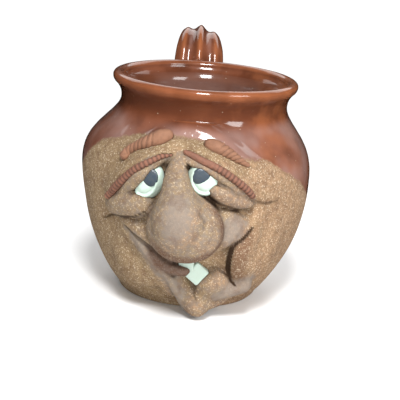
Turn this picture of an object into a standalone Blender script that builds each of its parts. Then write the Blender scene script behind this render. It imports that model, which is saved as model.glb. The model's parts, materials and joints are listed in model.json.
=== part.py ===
"""An ugly face mug: a thrown stoneware pot with a comic face built up in clay on its front.

Metres, +Z up. The origin is the middle of the underside, the face looks along -Y, and the
handle is at +Y. Left and right are as the viewer of the face sees them.
"""

import math

import bmesh
import bpy
import numpy as np
from mathutils import Matrix, Vector

# The thrown pot
HEIGHT = 0.1033
BASE_RADIUS = 0.0315
FOOT_ROUNDING = 0.0022
BELLY_RADIUS = 0.054
BELLY_HEIGHT = 0.056
NECK_RADIUS = 0.0388
NECK_DROP = 0.0118
RIM_RADIUS = 0.0430
LIP_THICKNESS = 0.0054
LIP_CREST = 0.40
RIM_SHIFT = 0.0017
WALL = 0.0055
FLOOR = 0.0070

# The pulled strap handle
HANDLE_WIDTH = 0.0245
HANDLE_THICKNESS = 0.0065
HANDLE_RIDGE = 0.0038
HANDLE_RISE = 0.0158
HANDLE_REACH = 0.0320
HANDLE_FOOT_HEIGHT = 0.0240
HANDLE_NARROWING = 0.78
HANDLE_SHIFT = -0.0024

# Pieces of other clay lie in pockets with this gap round them
CLEARANCE = 0.0003
# The face keeps this far above the table
TABLE_GAP = 0.0008

# The face is a free form laid on the belly, so its lengths are shares of the belly's radius
# or, up the wall, of its own height: a face unit and a face rise are about a millimetre.
# Angles are degrees round the pot from straight ahead, plus to the right, and levels are
# shares of the face's height.
FACE_UNIT = BELLY_RADIUS / 54
FACE_HEIGHT = 0.9874 * HEIGHT
FACE_RISE = FACE_HEIGHT / 102

# The eyes: angle, level, lift, half sizes and tilt of each eyeball, of the opening in the
# clay over it, and of its iris
LEFT_EYE = (-22.2, 0.627, -0.6, (7.4, 8.8, 5.4), -14)
RIGHT_EYE = (4.5, 0.659, -0.2, (7.3, 7.8, 5.2), 10)
LEFT_OPENING = (-20.3, 0.615, 6.0, (5.6, 8.2, 6.2), -18)
RIGHT_OPENING = (4.6, 0.645, 6.0, (7.2, 5.2, 6.2), -32)
LEFT_IRIS = (-19.7, 0.648, 3.9, (3.9, 4.2, 1.5), -14)
RIGHT_IRIS = (3.0, 0.675, 4.1, (4.1, 3.9, 1.5), 10)

# Lines pressed into the clay: stations of angle, level, lift and half width
CREASES = (
    ((-51, 0.394, 0.0, 0.3), (-41, 0.436, 0.4, 0.6), (-33, 0.448, 0.8, 0.8),
     (-26, 0.466, 1.8, 0.9), (-20.5, 0.500, 3.5, 0.7)),
    ((13, 0.552, 2.8, 0.5), (19.7, 0.534, 2.2, 0.8), (26, 0.540, 1.0, 0.5)),
    ((26, 0.578, 3.0, 0.5), (34, 0.553, 1.0, 0.7), (43, 0.552, 0.2, 0.4)),
    ((0.6, 0.566, 14.6, 0.2), (3.6, 0.535, 14.4, 0.45), (5.0, 0.502, 14.2, 0.55),
     (4.8, 0.463, 14.2, 0.45), (2.6, 0.422, 14.6, 0.2)),
)

# Rolls of other clay laid on the face: stations of angle, level, lift off the clay and radius
LEFT_EYEBROW = ((-16.2, 0.817, 0.2, 2.9), (-19.0, 0.806, 0.4, 3.6), (-24, 0.786, 0.6, 3.0),
                (-30, 0.760, 0.6, 2.3), (-34, 0.736, 0.8, 2.1), (-35.6, 0.712, 0.8, 2.3))
RIGHT_EYEBROW = ((6.6, 0.796, 0.2, 2.8), (9.5, 0.789, 0.4, 3.3), (15, 0.770, 0.4, 2.7),
                 (20, 0.745, 0.4, 1.8), (24.5, 0.722, 0.2, 1.0))
LEFT_LASH = ((-40.5, 0.528, 0.6, 1.6), (-34.7, 0.588, 0.5, 1.8), (-25.4, 0.680, 0.4, 1.7),
             (-17.1, 0.736, 0.2, 1.3), (-13.5, 0.744, 0.1, 0.8))
RIGHT_LASH = ((-5.0, 0.766, 0.2, 1.1), (-0.1, 0.752, 0.4, 1.5), (10.7, 0.712, 0.5, 1.7),
              (20.9, 0.644, 0.6, 1.7), (25.6, 0.600, 0.6, 1.5))

# The teeth: angle, level, lift, half sizes and tilt
TOOTH = (4.9, 0.220, 1.6, (3.7, 4.2, 2.2), -39)
SIDE_TOOTH = (-0.9, 0.262, 0.6, (3.4, 2.8, 1.7), -6)

# How finely the pot is turned, and the share of its faces that is kept
COLUMNS = 130
OUTER_ROWS = 78
FRONT_CROWDING = 0.52
KEPT_FACES = 0.186


# Curves and the pot's profile

def smoothstep(low, high, value):
    t = np.clip((value - low) / (high - low), 0.0, 1.0)
    return t * t * (3 - 2 * t)


def spline(points, samples):
    """A smooth curve through the points, each a row of numbers, as rows of `samples` points."""
    points = np.asarray(points, float)
    before = 2 * points[0] - points[1]
    after = 2 * points[-1] - points[-2]
    knots = np.vstack([before, points, after])
    spans = len(points) - 1
    rows = []
    for u in np.linspace(0.0, spans, samples):
        i = min(int(u), spans - 1)
        t = u - i
        a, b, c, d = knots[i:i + 4]
        rows.append(0.5 * (2 * b + (c - a) * t + (2 * a - 5 * b + 4 * c - d) * t * t
                           + (3 * b - a - 3 * c + d) * t ** 3))
    return np.array(rows)


def neck_height():
    return HEIGHT - NECK_DROP


def outer_radius(z):
    """The pot's outer radius at each height, from the base to the neck."""
    z = np.asarray(z, float)
    below = np.clip(1 - z / BELLY_HEIGHT, 0.0, 1.0)
    lower = BELLY_RADIUS - (BELLY_RADIUS - BASE_RADIUS) * below ** 2.2
    climb = np.clip((z - BELLY_HEIGHT) / (neck_height() - BELLY_HEIGHT), 0.0, 1.0)
    swing = 0.5 * (1 + np.cos(np.pi * climb ** 1.6))
    shoulder = NECK_RADIUS + (BELLY_RADIUS - NECK_RADIUS) * swing
    return np.where(z < BELLY_HEIGHT, lower, shoulder)


def rim_shift(z):
    """How far the pot's axis has wandered to the right at each height."""
    return RIM_SHIFT * smoothstep(BELLY_HEIGHT + 0.3 * (neck_height() - BELLY_HEIGHT),
                                  neck_height(), z)


def flatter_side(points):
    """How much the pot's lower left is pushed in, as a share of its radius."""
    side = smoothstep(0.0, BELLY_RADIUS, -points[:, 0])
    height = points[:, 2] / BELLY_HEIGHT
    return 0.032 * side * smoothstep(0.05, 0.35, height) * smoothstep(1.15, 0.75, height)


def lip_point(angle):
    """A point round the lip's roll, which is widest a share of its thickness below the crest."""
    across, up = math.cos(math.radians(angle)), math.sin(math.radians(angle))
    rise = LIP_CREST if up > 0 else 1 - LIP_CREST
    return np.array([RIM_RADIUS - 0.5 * LIP_THICKNESS * (1 - across),
                     HEIGHT + LIP_THICKNESS * (rise * up - LIP_CREST)])


def lip_curve(samples):
    """From the neck's outside out under the flared lip, over it and down to its inner side."""
    roll = [lip_point(a) for a in np.linspace(-60, 195, samples)]
    flare = []
    for share in (0.25, 0.5, 0.75):
        height = neck_height() + share * (roll[0][1] - neck_height())
        flare.append(np.array([NECK_RADIUS + share ** 2.4 * (roll[0][0] - NECK_RADIUS), height]))
    return flare + roll


def inner_curve(samples):
    """From the lip's inner side down the inner wall and across the floor to the axis."""
    heights = np.linspace(neck_height(), FLOOR + 1.1 * WALL, samples)
    step = 1e-4
    slope = (outer_radius(heights + step) - outer_radius(heights - step)) / (2 * step)
    lean = np.sqrt(1 + slope ** 2)
    radii = outer_radius(heights) - WALL * lean.clip(1.0, 1.25)
    top = lip_point(195)
    flare = [np.array([radii[0] + share ** 2.5 * (top[0] - radii[0]),
                       neck_height() + share * (top[1] - neck_height())])
             for share in (0.75, 0.5, 0.25)]
    wall = [np.array([r, z]) for r, z in zip(radii, heights)]
    floor_radius = radii[-1]
    floor = [np.array([floor_radius - 0.8 * WALL, FLOOR + 0.25 * WALL]),
             np.array([floor_radius - 2.0 * WALL, FLOOR]),
             np.array([0.0, FLOOR])]
    return flare + wall + floor


def outer_curve(samples):
    """From under the lip down the outer wall, round the foot and in to the axis."""
    heights = np.linspace(neck_height(), FOOT_ROUNDING, samples)
    wall = [np.array([float(outer_radius(z)), z]) for z in heights]
    corner = float(outer_radius(FOOT_ROUNDING))
    foot = [np.array([corner - FOOT_ROUNDING * (1 - math.cos(a)),
                      FOOT_ROUNDING * (1 - math.sin(a))])
            for a in (math.radians(45), math.radians(90))]
    return wall + foot + [np.array([0.0, 0.0])]


# Building and joining objects

def make_mesh_object(name, points, edges, faces=()):
    mesh = bpy.data.meshes.new(name)
    mesh.from_pydata([tuple(p) for p in points], edges, list(faces))
    made = bpy.data.objects.new(name, mesh)
    bpy.context.scene.collection.objects.link(made)
    return made


def turned(name, profile, columns):
    """Turns a profile of (radius, height) points about the pot's axis."""
    points = [(r, 0.0, z) for r, z in profile]
    edges = [(i, i + 1) for i in range(len(points) - 1)]
    made = make_mesh_object(name, points, edges)
    screw = made.modifiers.new("turn", "SCREW")
    screw.axis = "Z"
    screw.steps = screw.render_steps = columns
    screw.use_merge_vertices = True
    screw.merge_threshold = 0.00002
    return to_plain_mesh(made)


def to_plain_mesh(source):
    """The object again with its modifiers applied, or its curve made a welded mesh."""
    bpy.context.view_layer.update()
    graph = bpy.context.evaluated_depsgraph_get()
    mesh = bpy.data.meshes.new_from_object(source.evaluated_get(graph))
    name = source.name
    made = bpy.data.objects.new(name, mesh)
    made.matrix_world = source.matrix_world.copy()
    bpy.data.objects.remove(source)
    made.name = name
    bpy.context.scene.collection.objects.link(made)
    weld = bmesh.new()
    weld.from_mesh(mesh)
    bmesh.ops.remove_doubles(weld, verts=weld.verts, dist=0.00001)
    bmesh.ops.recalc_face_normals(weld, faces=weld.faces)
    weld.to_mesh(mesh)
    weld.free()
    return made


def read_points(mesh):
    flat = np.empty(len(mesh.vertices) * 3)
    mesh.vertices.foreach_get("co", flat)
    return flat.reshape(-1, 3)


def write_points(mesh, points):
    mesh.vertices.foreach_set("co", np.asarray(points, np.float32).ravel())
    mesh.update()


# Places on the pot's front

def outward(angle):
    """The level direction out of the pot at an angle in degrees from straight ahead."""
    a = math.radians(angle)
    return np.array([math.sin(a), -math.cos(a), 0.0])


def spot(angle, level, lift=0.0):
    """A point over the wall: degrees to the right, share of the face's height, units out."""
    z = level * FACE_HEIGHT
    return (outward(angle) * (float(outer_radius(z)) + lift * FACE_UNIT)
            + np.array([0.0, 0.0, z]))


def on_clay(rows):
    """Points over the modelled clay, found by walking in: rows of angle, level and lift."""
    out = np.array([outward(angle) for angle, _, _ in rows])
    foot = np.array([(0.0, 0.0, level * FACE_HEIGHT) for _, level, _ in rows])
    reach = np.full((len(rows), 1), 1.6 * BELLY_RADIUS)
    gap = reach
    while gap.max() > 0.00001:
        gap = face_field(foot + out * reach)[:, None]
        reach = reach - 0.7 * np.minimum(gap, 0.01)
    return foot + out * (reach + rows[:, 2:3] * FACE_UNIT)


def local_axes(angle, tilt):
    """Rows along the wall to the right, up the wall and out of it, tilted in the wall."""
    out = outward(angle)
    right = np.array([-out[1], out[0], 0.0])
    up = np.array([0.0, 0.0, 1.0])
    c, s = math.cos(math.radians(tilt)), math.sin(math.radians(tilt))
    return np.array([right * c + up * s, up * c - right * s, out])


# Clay as distance fields: negative inside the clay, in metres

def join(a, b, blend):
    """Two lumps pressed together, with a fillet of about the blend, in face units."""
    blend = blend * FACE_UNIT
    share = np.clip(0.5 + 0.5 * (b - a) / blend, 0.0, 1.0)
    return b * (1 - share) + a * share - blend * share * (1 - share)


def carve(a, b, blend):
    """Lump a with lump b pressed out of it."""
    return -join(-a, b, blend)


def wall_field(p):
    rho = np.hypot(p[:, 0], p[:, 1])
    step = 1e-4
    slope = (outer_radius(p[:, 2] + step) - outer_radius(p[:, 2] - step)) / (2 * step)
    return (rho - outer_radius(p[:, 2])) / np.sqrt(1 + slope ** 2)


def lump(p, angle, level, lift, size, tilt=0.0):
    """An egg of clay: size is its half width, half height and half depth, in face units."""
    local = (p - spot(angle, level, lift)) @ local_axes(angle, tilt).T
    radii = np.array(size) * (FACE_UNIT, FACE_RISE, FACE_UNIT)
    near = np.linalg.norm(local / radii, axis=1)
    far = np.linalg.norm(local / radii ** 2, axis=1)
    return near * (near - 1) / np.maximum(far, 1e-9)


def coil(p, stations, flatness=1.0):
    """A tapered roll of clay through stations of (angle, level, lift, radius)."""
    rows = spline(stations, 3 * (len(stations) - 1) + 1)
    ends = [(spot(a, level, lift), r * FACE_UNIT, outward(a)) for a, level, lift, r in rows]
    field = np.full(len(p), 1.0)
    for (start, r0, out), (stop, r1, _) in zip(ends[:-1], ends[1:]):
        along = stop - start
        t = np.clip((p - start) @ along / (along @ along), 0.0, 1.0)
        gap = p - start - t[:, None] * along
        depth = gap @ out
        side = gap - depth[:, None] * out
        reach = np.sqrt((side ** 2).sum(axis=1) + (depth / flatness) ** 2)
        field = np.minimum(field, reach - (r0 + (r1 - r0) * t))
    return field


def hood_field(p):
    """The clay over the eyes: a tent with its peak left of the middle, running out to a tail."""
    edge = coil(p, [(-42, 0.545, 0.0, 2.6), (-35, 0.605, 1.6, 3.4), (-26, 0.690, 2.6, 3.8),
                    (-17, 0.745, 2.6, 3.6), (-9, 0.768, 1.8, 3.2), (0, 0.757, 2.6, 3.6),
                    (9, 0.725, 3.0, 3.8), (18, 0.665, 2.6, 3.6), (26, 0.612, 1.4, 3.2),
                    (34, 0.585, -0.2, 2.8), (43, 0.578, -2.4, 2.6)])
    slope = coil(p, [(-40, 0.600, -5.5, 5.0), (-24, 0.745, -3.5, 6.0), (-9, 0.810, -3.5, 6.0),
                     (9, 0.785, -3.0, 6.0), (26, 0.685, -3.5, 6.0), (40, 0.635, -6.0, 5.0)])
    return join(edge, slope, 6.0)


def nose_field(p):
    """A narrow bridge that hangs down into a bulb, with a ball pressed into its middle."""
    bridge = coil(p, [(-8.6, 0.715, 0.0, 4.2), (-8.0, 0.66, 2.5, 5.4), (-6.6, 0.60, 5.5, 7.2),
                      (-5.2, 0.53, 9.0, 9.4)])
    bulb = lump(p, -2.5, 0.444, 3.6, (17.0, 15.4, 11.6), tilt=-4)
    ball = lump(p, -5.2, 0.474, 8.8, (11.2, 12.4, 10.6))
    return join(join(bulb, ball, 1.0), bridge, 5.0)


def jowl_field(p):
    """The two cheeks: the left swells to a smooth lip roll, the right rolls into the slit."""
    left = join(lump(p, -28, 0.26, -5.5, (15, 15, 9.0), tilt=-25),
                coil(p, [(-33, 0.385, -0.5, 1.8), (-25, 0.345, 1.4, 3.0),
                         (-18.5, 0.300, 2.2, 3.6), (-14.6, 0.245, 2.0, 3.6),
                         (-11.6, 0.180, 1.8, 3.4), (-9.4, 0.120, 1.6, 3.2)]), 6.0)
    right = join(lump(p, 36, 0.35, -5.5, (14, 18, 10.0)),
                 coil(p, [(32, 0.505, -0.5, 2.4), (28.5, 0.435, 2.0, 3.6),
                          (25.4, 0.385, 3.0, 4.4), (24.6, 0.320, 3.2, 4.6),
                          (26.6, 0.255, 2.8, 4.2), (30, 0.20, 1.0, 3.4)]), 7.0)
    return np.minimum(left, right)


def lip_roll_field(p):
    """The smooth lower lip on the left, from the corner of the mouth down to the chin."""
    return coil(p, [(-31.0, 0.398, 0.2, 0.7), (-27.3, 0.384, 1.9, 1.5),
                    (-23.8, 0.355, 3.4, 2.0), (-19.8, 0.322, 4.6, 2.3),
                    (-15.8, 0.285, 4.9, 2.4), (-12.6, 0.243, 5.0, 2.3),
                    (-8.9, 0.195, 5.0, 2.2), (-5.6, 0.138, 5.6, 2.2), (-1.4, 0.086, 7.0, 2.4),
                    (3.0, 0.040, 9.0, 2.4)])


def upper_lip_field(p):
    """A flap from each cheek that ends over the mouth in an edge."""
    left = join(lump(p, -26, 0.43, -3.0, (11, 6.5, 5.5), tilt=-20),
                coil(p, [(-33, 0.430, -0.6, 1.8), (-26, 0.400, 1.6, 2.2),
                         (-19, 0.368, 2.8, 2.3), (-13, 0.325, 3.0, 2.2),
                         (-8, 0.285, 2.4, 2.0)]), 4.0)
    right = join(lump(p, 15, 0.455, -1.5, (10, 9.0, 5.2), tilt=25),
                 coil(p, [(24, 0.455, 0.5, 2.4), (19, 0.412, 1.8, 2.6),
                          (12, 0.362, 2.6, 2.4), (4, 0.315, 2.2, 2.2)]), 4.0)
    return np.minimum(left, right)


def lid_field(p):
    """The upper lids, that hang slantwise over the eyes from under the hood."""
    left = coil(p, [(-34, 0.556, 1.8, 2.4), (-28.2, 0.606, 3.6, 3.0), (-23.4, 0.662, 4.4, 3.3),
                    (-19.2, 0.711, 4.0, 2.9), (-15.5, 0.733, 2.6, 2.4)])
    right = coil(p, [(-8, 0.740, 2.6, 2.2), (0, 0.726, 4.2, 2.4), (8, 0.700, 4.6, 2.6),
                     (15, 0.660, 4.2, 2.6), (21, 0.616, 2.8, 2.4), (26, 0.588, 1.6, 2.0)])
    return np.minimum(left, right)


def pouch_field(p):
    """The bags under the eyes, one at the left and two at the right."""
    left = join(lump(p, -31, 0.514, 0.0, (10.0, 6.4, 6.2), tilt=20),
                join(lump(p, -22.5, 0.522, 1.8, (6.8, 4.8, 5.0), tilt=16),
                     lump(p, -39.5, 0.492, -1.0, (7.0, 5.2, 4.8), tilt=22), 3.0), 4.0)
    inner = lump(p, 13.4, 0.598, 0.6, (7.6, 4.4, 5.6), tilt=-26)
    outer = lump(p, 21.0, 0.568, 0.4, (7.4, 3.6, 5.2), tilt=-8)
    return np.minimum(left, join(inner, outer, 0.6))


def chin_field(p):
    """The chin's point, and the lower lip folded over it like a mitten with its thumb."""
    chin = coil(p, [(-3, 0.150, -0.5, 4.6), (0.5, 0.105, 2.6, 5.4), (4.6, 0.082, 7.0, 5.4),
                    (6.6, 0.060, 11.0, 4.0)])
    heel = coil(p, [(6.6, 0.060, 10.0, 4.0), (12, 0.078, 5.4, 4.8), (20, 0.082, 2.4, 4.4),
                    (28, 0.100, 0.0, 3.6)])
    thumb = coil(p, [(10, 0.128, 4.0, 4.8), (18, 0.130, 5.0, 4.2), (25, 0.150, 5.2, 4.2),
                     (30, 0.170, 5.0, 4.8)])
    lobe = lump(p, 14.2, 0.172, 3.0, (8.0, 6.6, 5.6), tilt=22)
    return join(join(chin, heel, 3.0), join(lobe, thumb, 0.8), 0.8)


def mouth_hollow_field(p):
    """What is pressed in for the mouth: the flat behind the tooth, and the left corner."""
    return np.minimum(lump(p, 8, 0.30, 5.2, (10.0, 9.0, 5.2), tilt=-10),
                      coil(p, [(-24, 0.362, 4.6, 1.2), (-18, 0.325, 4.6, 2.2),
                               (-13.5, 0.280, 4.6, 2.6), (-7, 0.215, 5.4, 2.2),
                               (-1, 0.150, 7.4, 1.6)]))


def slit_field(p):
    """The deep slit between the right cheek and the mouth."""
    return coil(p, [(26.5, 0.445, 2.6, 0.3), (22.4, 0.400, 3.0, 0.5), (19.8, 0.372, 2.8, 0.8),
                    (18.9, 0.335, 2.6, 1.05), (19.2, 0.283, 2.6, 1.0), (20.6, 0.235, 3.6, 0.8),
                    (22.8, 0.195, 5.6, 0.5), (24.6, 0.172, 7.0, 0.3)], flatness=2.0)


def face_field(p):
    """The whole front of the pot with its face."""
    clay = join(wall_field(p), jowl_field(p), 5.0)
    clay = carve(clay, mouth_hollow_field(p), 0.8)
    crescent = coil(p, [(-18.6, 0.335, 1.4, 0.8), (-15.2, 0.296, 1.8, 1.7),
                        (-12.2, 0.262, 2.2, 2.2), (-8.6, 0.240, 2.4, 2.3),
                        (-4.9, 0.234, 2.2, 2.1), (-1.2, 0.227, 1.6, 1.3)])
    clay = join(clay, lip_roll_field(p), 0.9)
    clay = join(clay, crescent, 0.5)
    clay = join(clay, upper_lip_field(p), 0.8)
    clay = carve(clay, coil(p, [(-33.0, 0.403, 0.9, 0.5), (-26.5, 0.376, 2.4, 0.9),
                                (-21.5, 0.352, 2.4, 1.1), (-17.8, 0.334, 1.6, 1.3),
                                (-14.6, 0.314, 1.2, 1.4), (-11.4, 0.285, 1.4, 1.3)]), 0.4)
    clay = join(clay, hood_field(p), 5.0)
    clay = carve(clay, lump(p, *LEFT_OPENING), 0.8)
    clay = carve(clay, lump(p, *RIGHT_OPENING), 0.8)
    clay = join(clay, lid_field(p), 1.2)
    clay = join(clay, pouch_field(p), 0.8)
    clay = carve(clay, slit_field(p), 0.6)
    clay = join(clay, chin_field(p), 1.2)
    clay = join(clay, nose_field(p), 0.8)
    for crease in CREASES:
        clay = carve(clay, coil(p, crease, flatness=2.0), 0.5)
    return np.maximum(clay, TABLE_GAP - p[:, 2])


# Pressing the face onto the turned pot

def crowd_to_front(points):
    """Turns each point round the axis so that the columns crowd towards the face."""
    rho = np.hypot(points[:, 0], points[:, 1])
    turn = np.arctan2(points[:, 0], -points[:, 1])
    turn = turn - FRONT_CROWDING * np.sin(turn)
    return np.column_stack([rho * np.sin(turn), -rho * np.cos(turn), points[:, 2]])


def field_slopes(p, field):
    step = 2e-5
    here = field(p)
    slopes = [(field(p + step * axis) - here) / step for axis in np.eye(3)]
    slopes = np.column_stack(slopes)
    return here, slopes / np.maximum(np.linalg.norm(slopes, axis=1, keepdims=True), 1e-9)


def press_face(made, rounds):
    """Moves the outer wall's front points out onto the clay, then evens them along it."""
    mesh = made.data
    points = crowd_to_front(read_points(mesh))
    turn = np.degrees(np.abs(np.arctan2(points[:, 0], -points[:, 1])))
    rho = np.hypot(points[:, 0], points[:, 1])
    top = neck_height() - 3 * FACE_UNIT
    low = 0.5 * FOOT_ROUNDING
    outside = np.abs(rho - outer_radius(points[:, 2])) < 1e-6
    chosen = np.flatnonzero(outside & (turn < 88) & (points[:, 2] > low) & (points[:, 2] < top))
    ease = (smoothstep(88, 70, turn) * smoothstep(top, top - 12 * FACE_UNIT, points[:, 2])
            * smoothstep(low, low + 6 * FACE_UNIT, points[:, 2]))[chosen, None]

    # From far outside, walk in along a ray to the pot's middle until the clay is met
    middle = np.array([0.0, 0.0, FACE_HEIGHT / 2])
    rays = points[chosen] - middle
    rays /= np.linalg.norm(rays, axis=1, keepdims=True)
    reach = np.full(len(chosen), 2 * BELLY_RADIUS)
    open_rays = np.arange(len(chosen))
    while len(open_rays):
        gap = face_field(middle + rays[open_rays] * reach[open_rays, None])
        reach[open_rays] -= 0.75 * np.minimum(gap, 0.01)
        open_rays = open_rays[gap > 0.00002]
    points[chosen] = middle + rays * reach[:, None]

    # Even the spacing along the surface, then drop each point back onto it
    ends = np.array([e.vertices[:] for e in mesh.edges])
    ends = np.vstack([ends, ends[:, ::-1]])
    count = np.bincount(ends[:, 0], minlength=len(points)).clip(1)
    for _ in range(rounds):
        mean = np.column_stack([np.bincount(ends[:, 0], points[ends[:, 1], k], len(points))
                                for k in range(3)]) / count[:, None]
        pull = (mean - points)[chosen]
        here, normal = field_slopes(points[chosen], face_field)
        pull -= normal * (pull * normal).sum(axis=1, keepdims=True)
        points[chosen] += 0.5 * ease * pull - normal * np.clip(here, -0.0005, 0.0005)[:, None]
    here, normal = field_slopes(points[chosen], face_field)
    points[chosen] -= normal * np.clip(here, -0.0005, 0.0005)[:, None]
    points[:, 0] *= 1 - flatter_side(points)
    points[:, 0] += rim_shift(points[:, 2])
    write_points(mesh, points)


def build_pot(columns, outer_rows, inner_rows=9, lip_rows=7, rounds=12):
    profile = (inner_curve(inner_rows)[::-1] + lip_curve(lip_rows)[::-1]
               + outer_curve(outer_rows))
    pot = turned("mug_body", profile, columns)
    press_face(pot, rounds)
    return pot


# The handle and the pieces of other clay

def handle_path():
    """Stations of the strap's middle line: far from the axis, height and share of its width."""
    foot = HANDLE_FOOT_HEIGHT
    crest = HEIGHT + HANDLE_RISE - HANDLE_RIDGE - HANDLE_THICKNESS / 2
    outermost = BELLY_RADIUS + HANDLE_REACH - HANDLE_THICKNESS / 2
    arch = ((-0.01, 0.784, 0.9), (0.063, 0.829, 1.0), (0.12, 0.886, 1.0), (0.21, 0.948, 0.8),
            (0.37, 0.993, 0.4), (0.545, 1.0, 0.1), (0.73, 0.948, 0.0), (0.895, 0.84, 0.0),
            (0.99, 0.688, 0.1), (0.98, 0.52, 0.2), (0.87, 0.327, 0.3), (0.657, 0.17, 0.5),
            (0.38, 0.062, 0.7))
    start = (NECK_RADIUS - 0.2 * WALL, neck_height() - 0.0010, 0.8)
    stop = (float(outer_radius(foot)) - 0.45 * WALL, foot, 0.9)
    middle = [(RIM_RADIUS + out * (outermost - RIM_RADIUS), foot + up * (crest - foot),
               HANDLE_NARROWING + full * (1 - HANDLE_NARROWING)) for out, up, full in arch]
    return [start] + middle + [stop]


def strap_section(across):
    """The strap's outline: a flat inner side, and three ridges along the outer side."""
    half = HANDLE_WIDTH / 2
    outer = []
    for u in np.linspace(-1, 1, across):
        crown = HANDLE_RIDGE * math.exp(-(u / 0.26) ** 2)
        side = 0.42 * HANDLE_RIDGE * math.exp(-((abs(u) - 0.70) / 0.20) ** 2)
        edge = math.sqrt(max(0.0, 1 - abs(u) ** 4))
        outer.append((u * half, (HANDLE_THICKNESS / 2 + side) * edge + crown))
    inner = [(u * half, -HANDLE_THICKNESS / 2 * math.sqrt(1 - abs(u) ** 6))
             for u in (0.86, 0.45, -0.45, -0.86)]
    return outer + inner


def build_handle(along, across):
    outline = bpy.data.curves.new("strap_outline", "CURVE")
    loop = outline.splines.new("POLY")
    points = strap_section(across)
    loop.points.add(len(points) - 1)
    for point, (x, y) in zip(loop.points, points):
        point.co = (x, y, 0.0, 1.0)
    loop.use_cyclic_u = True
    guide = bpy.data.objects.new("strap_outline", outline)
    bpy.context.scene.collection.objects.link(guide)

    path = bpy.data.curves.new("handle", "CURVE")
    path.dimensions = "3D"
    path.bevel_mode = "OBJECT"
    path.bevel_object = guide
    path.use_fill_caps = True
    line = path.splines.new("POLY")
    rows = spline(handle_path(), along)
    line.points.add(len(rows) - 1)
    for point, (out, up, share) in zip(line.points, rows):
        point.co = (HANDLE_SHIFT, out, up, 1.0)
        point.radius = share
    handle = bpy.data.objects.new("handle", path)
    bpy.context.scene.collection.objects.link(handle)
    made = to_plain_mesh(handle)
    bpy.data.objects.remove(guide)
    return made


def placed(unit_mesh, name, place):
    """Gives a mesh of half size one its half sizes, tilt and place on the face."""
    angle, level, lift, size, tilt = place
    radii = np.array(size) * (FACE_UNIT, FACE_RISE, FACE_UNIT)
    axes = local_axes(angle, tilt) * radii[:, None]
    grid = np.eye(4)
    grid[:3, :3] = axes.T
    grid[:3, 3] = spot(angle, level, lift)
    unit_mesh.data.transform(Matrix(grid.tolist()))
    unit_mesh.name = name
    return unit_mesh


def egg(name, place, segments, rings, band=0.0):
    """A flattened ball of clay, with a rolled edge towards the nose if it has a band."""
    bpy.ops.mesh.primitive_uv_sphere_add(segments=segments, ring_count=rings, radius=1.0)
    made = bpy.context.object
    mesh = made.data
    points = read_points(mesh)
    reach = np.hypot(points[:, 0], points[:, 1])
    side = np.sign(band) * points[:, 0] / reach.clip(1e-6) - 0.7 * points[:, 1]
    roll = abs(band) * np.exp(-((reach - 0.80) / 0.11) ** 2) * smoothstep(-0.3, 0.4, side)
    points[:, 2] += np.where(points[:, 2] > 0, roll, 0.0)
    write_points(mesh, points)
    return placed(made, name, place)


def slab(name, place, rounding):
    """A flat tooth with rounded edges."""
    bpy.ops.mesh.primitive_cube_add(size=2.0)
    made = placed(bpy.context.object, name, place)
    bevel = made.modifiers.new("edges", "BEVEL")
    bevel.width = rounding * FACE_UNIT
    bevel.segments = 2
    return made


def rope(name, stations, per_span, resolution):
    """A roll of clay with rounded ends, laid along the stations."""
    rows = spline(stations, per_span * (len(stations) - 1) + 1)
    line = list(zip(on_clay(rows[:, :3]), rows[:, 3] * FACE_UNIT))
    ends = []
    for (tip, r), (inside, _) in ((line[0], line[1]), (line[-1], line[-2])):
        way = (tip - inside) / np.linalg.norm(tip - inside)
        ends.append([(tip + way * r * 0.55, r * 0.84), (tip + way * r * 0.92, r * 0.40)])
    line = ends[0][::-1] + line + ends[1]
    path = bpy.data.curves.new(name, "CURVE")
    path.dimensions = "3D"
    path.bevel_depth = 1.0
    path.bevel_resolution = resolution
    path.use_fill_caps = True
    roll = path.splines.new("POLY")
    roll.points.add(len(line) - 1)
    for point, (place, r) in zip(roll.points, line):
        point.co = (*place, 1.0)
        point.radius = r
    made = bpy.data.objects.new(name, path)
    bpy.context.scene.collection.objects.link(made)
    return to_plain_mesh(made)


def clay_material(name, colour, roughness):
    made = bpy.data.materials.new(name)
    made.use_nodes = True
    shader = made.node_tree.nodes["Principled BSDF"]
    shader.inputs["Base Color"].default_value = (*colour, 1.0)
    shader.inputs["Roughness"].default_value = roughness
    shader.inputs["Metallic"].default_value = 0.0
    return made


# Putting the mug together

def new_collection(name):
    made = bpy.data.collections.new(name)
    bpy.context.scene.collection.children.link(made)
    return made


def move_to(made, collection):
    for old in list(made.users_collection):
        old.objects.unlink(made)
    collection.objects.link(made)


def helper(made, collection):
    move_to(made, collection)
    made.hide_render = True
    made.display_type = "WIRE"
    return made


def swollen(piece, cutters):
    """A hidden copy of a piece, larger by the clearance all round, to cut its seat with."""
    cutter = bpy.data.objects.new(piece.name + "_seat", piece.data)
    for old in piece.modifiers:
        if old.type == "BEVEL":
            bevel = cutter.modifiers.new("edges", "BEVEL")
            bevel.width = old.width
            bevel.segments = old.segments
    swell = cutter.modifiers.new("clearance", "DISPLACE")
    swell.mid_level = 0.0
    swell.strength = CLEARANCE
    cutters.objects.link(cutter)
    return helper(cutter, cutters)


def add_boolean(target, other, operation):
    boolean = target.modifiers.new(other.name, "BOOLEAN")
    boolean.operation = operation
    boolean.solver = "EXACT"
    boolean.object = other


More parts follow.
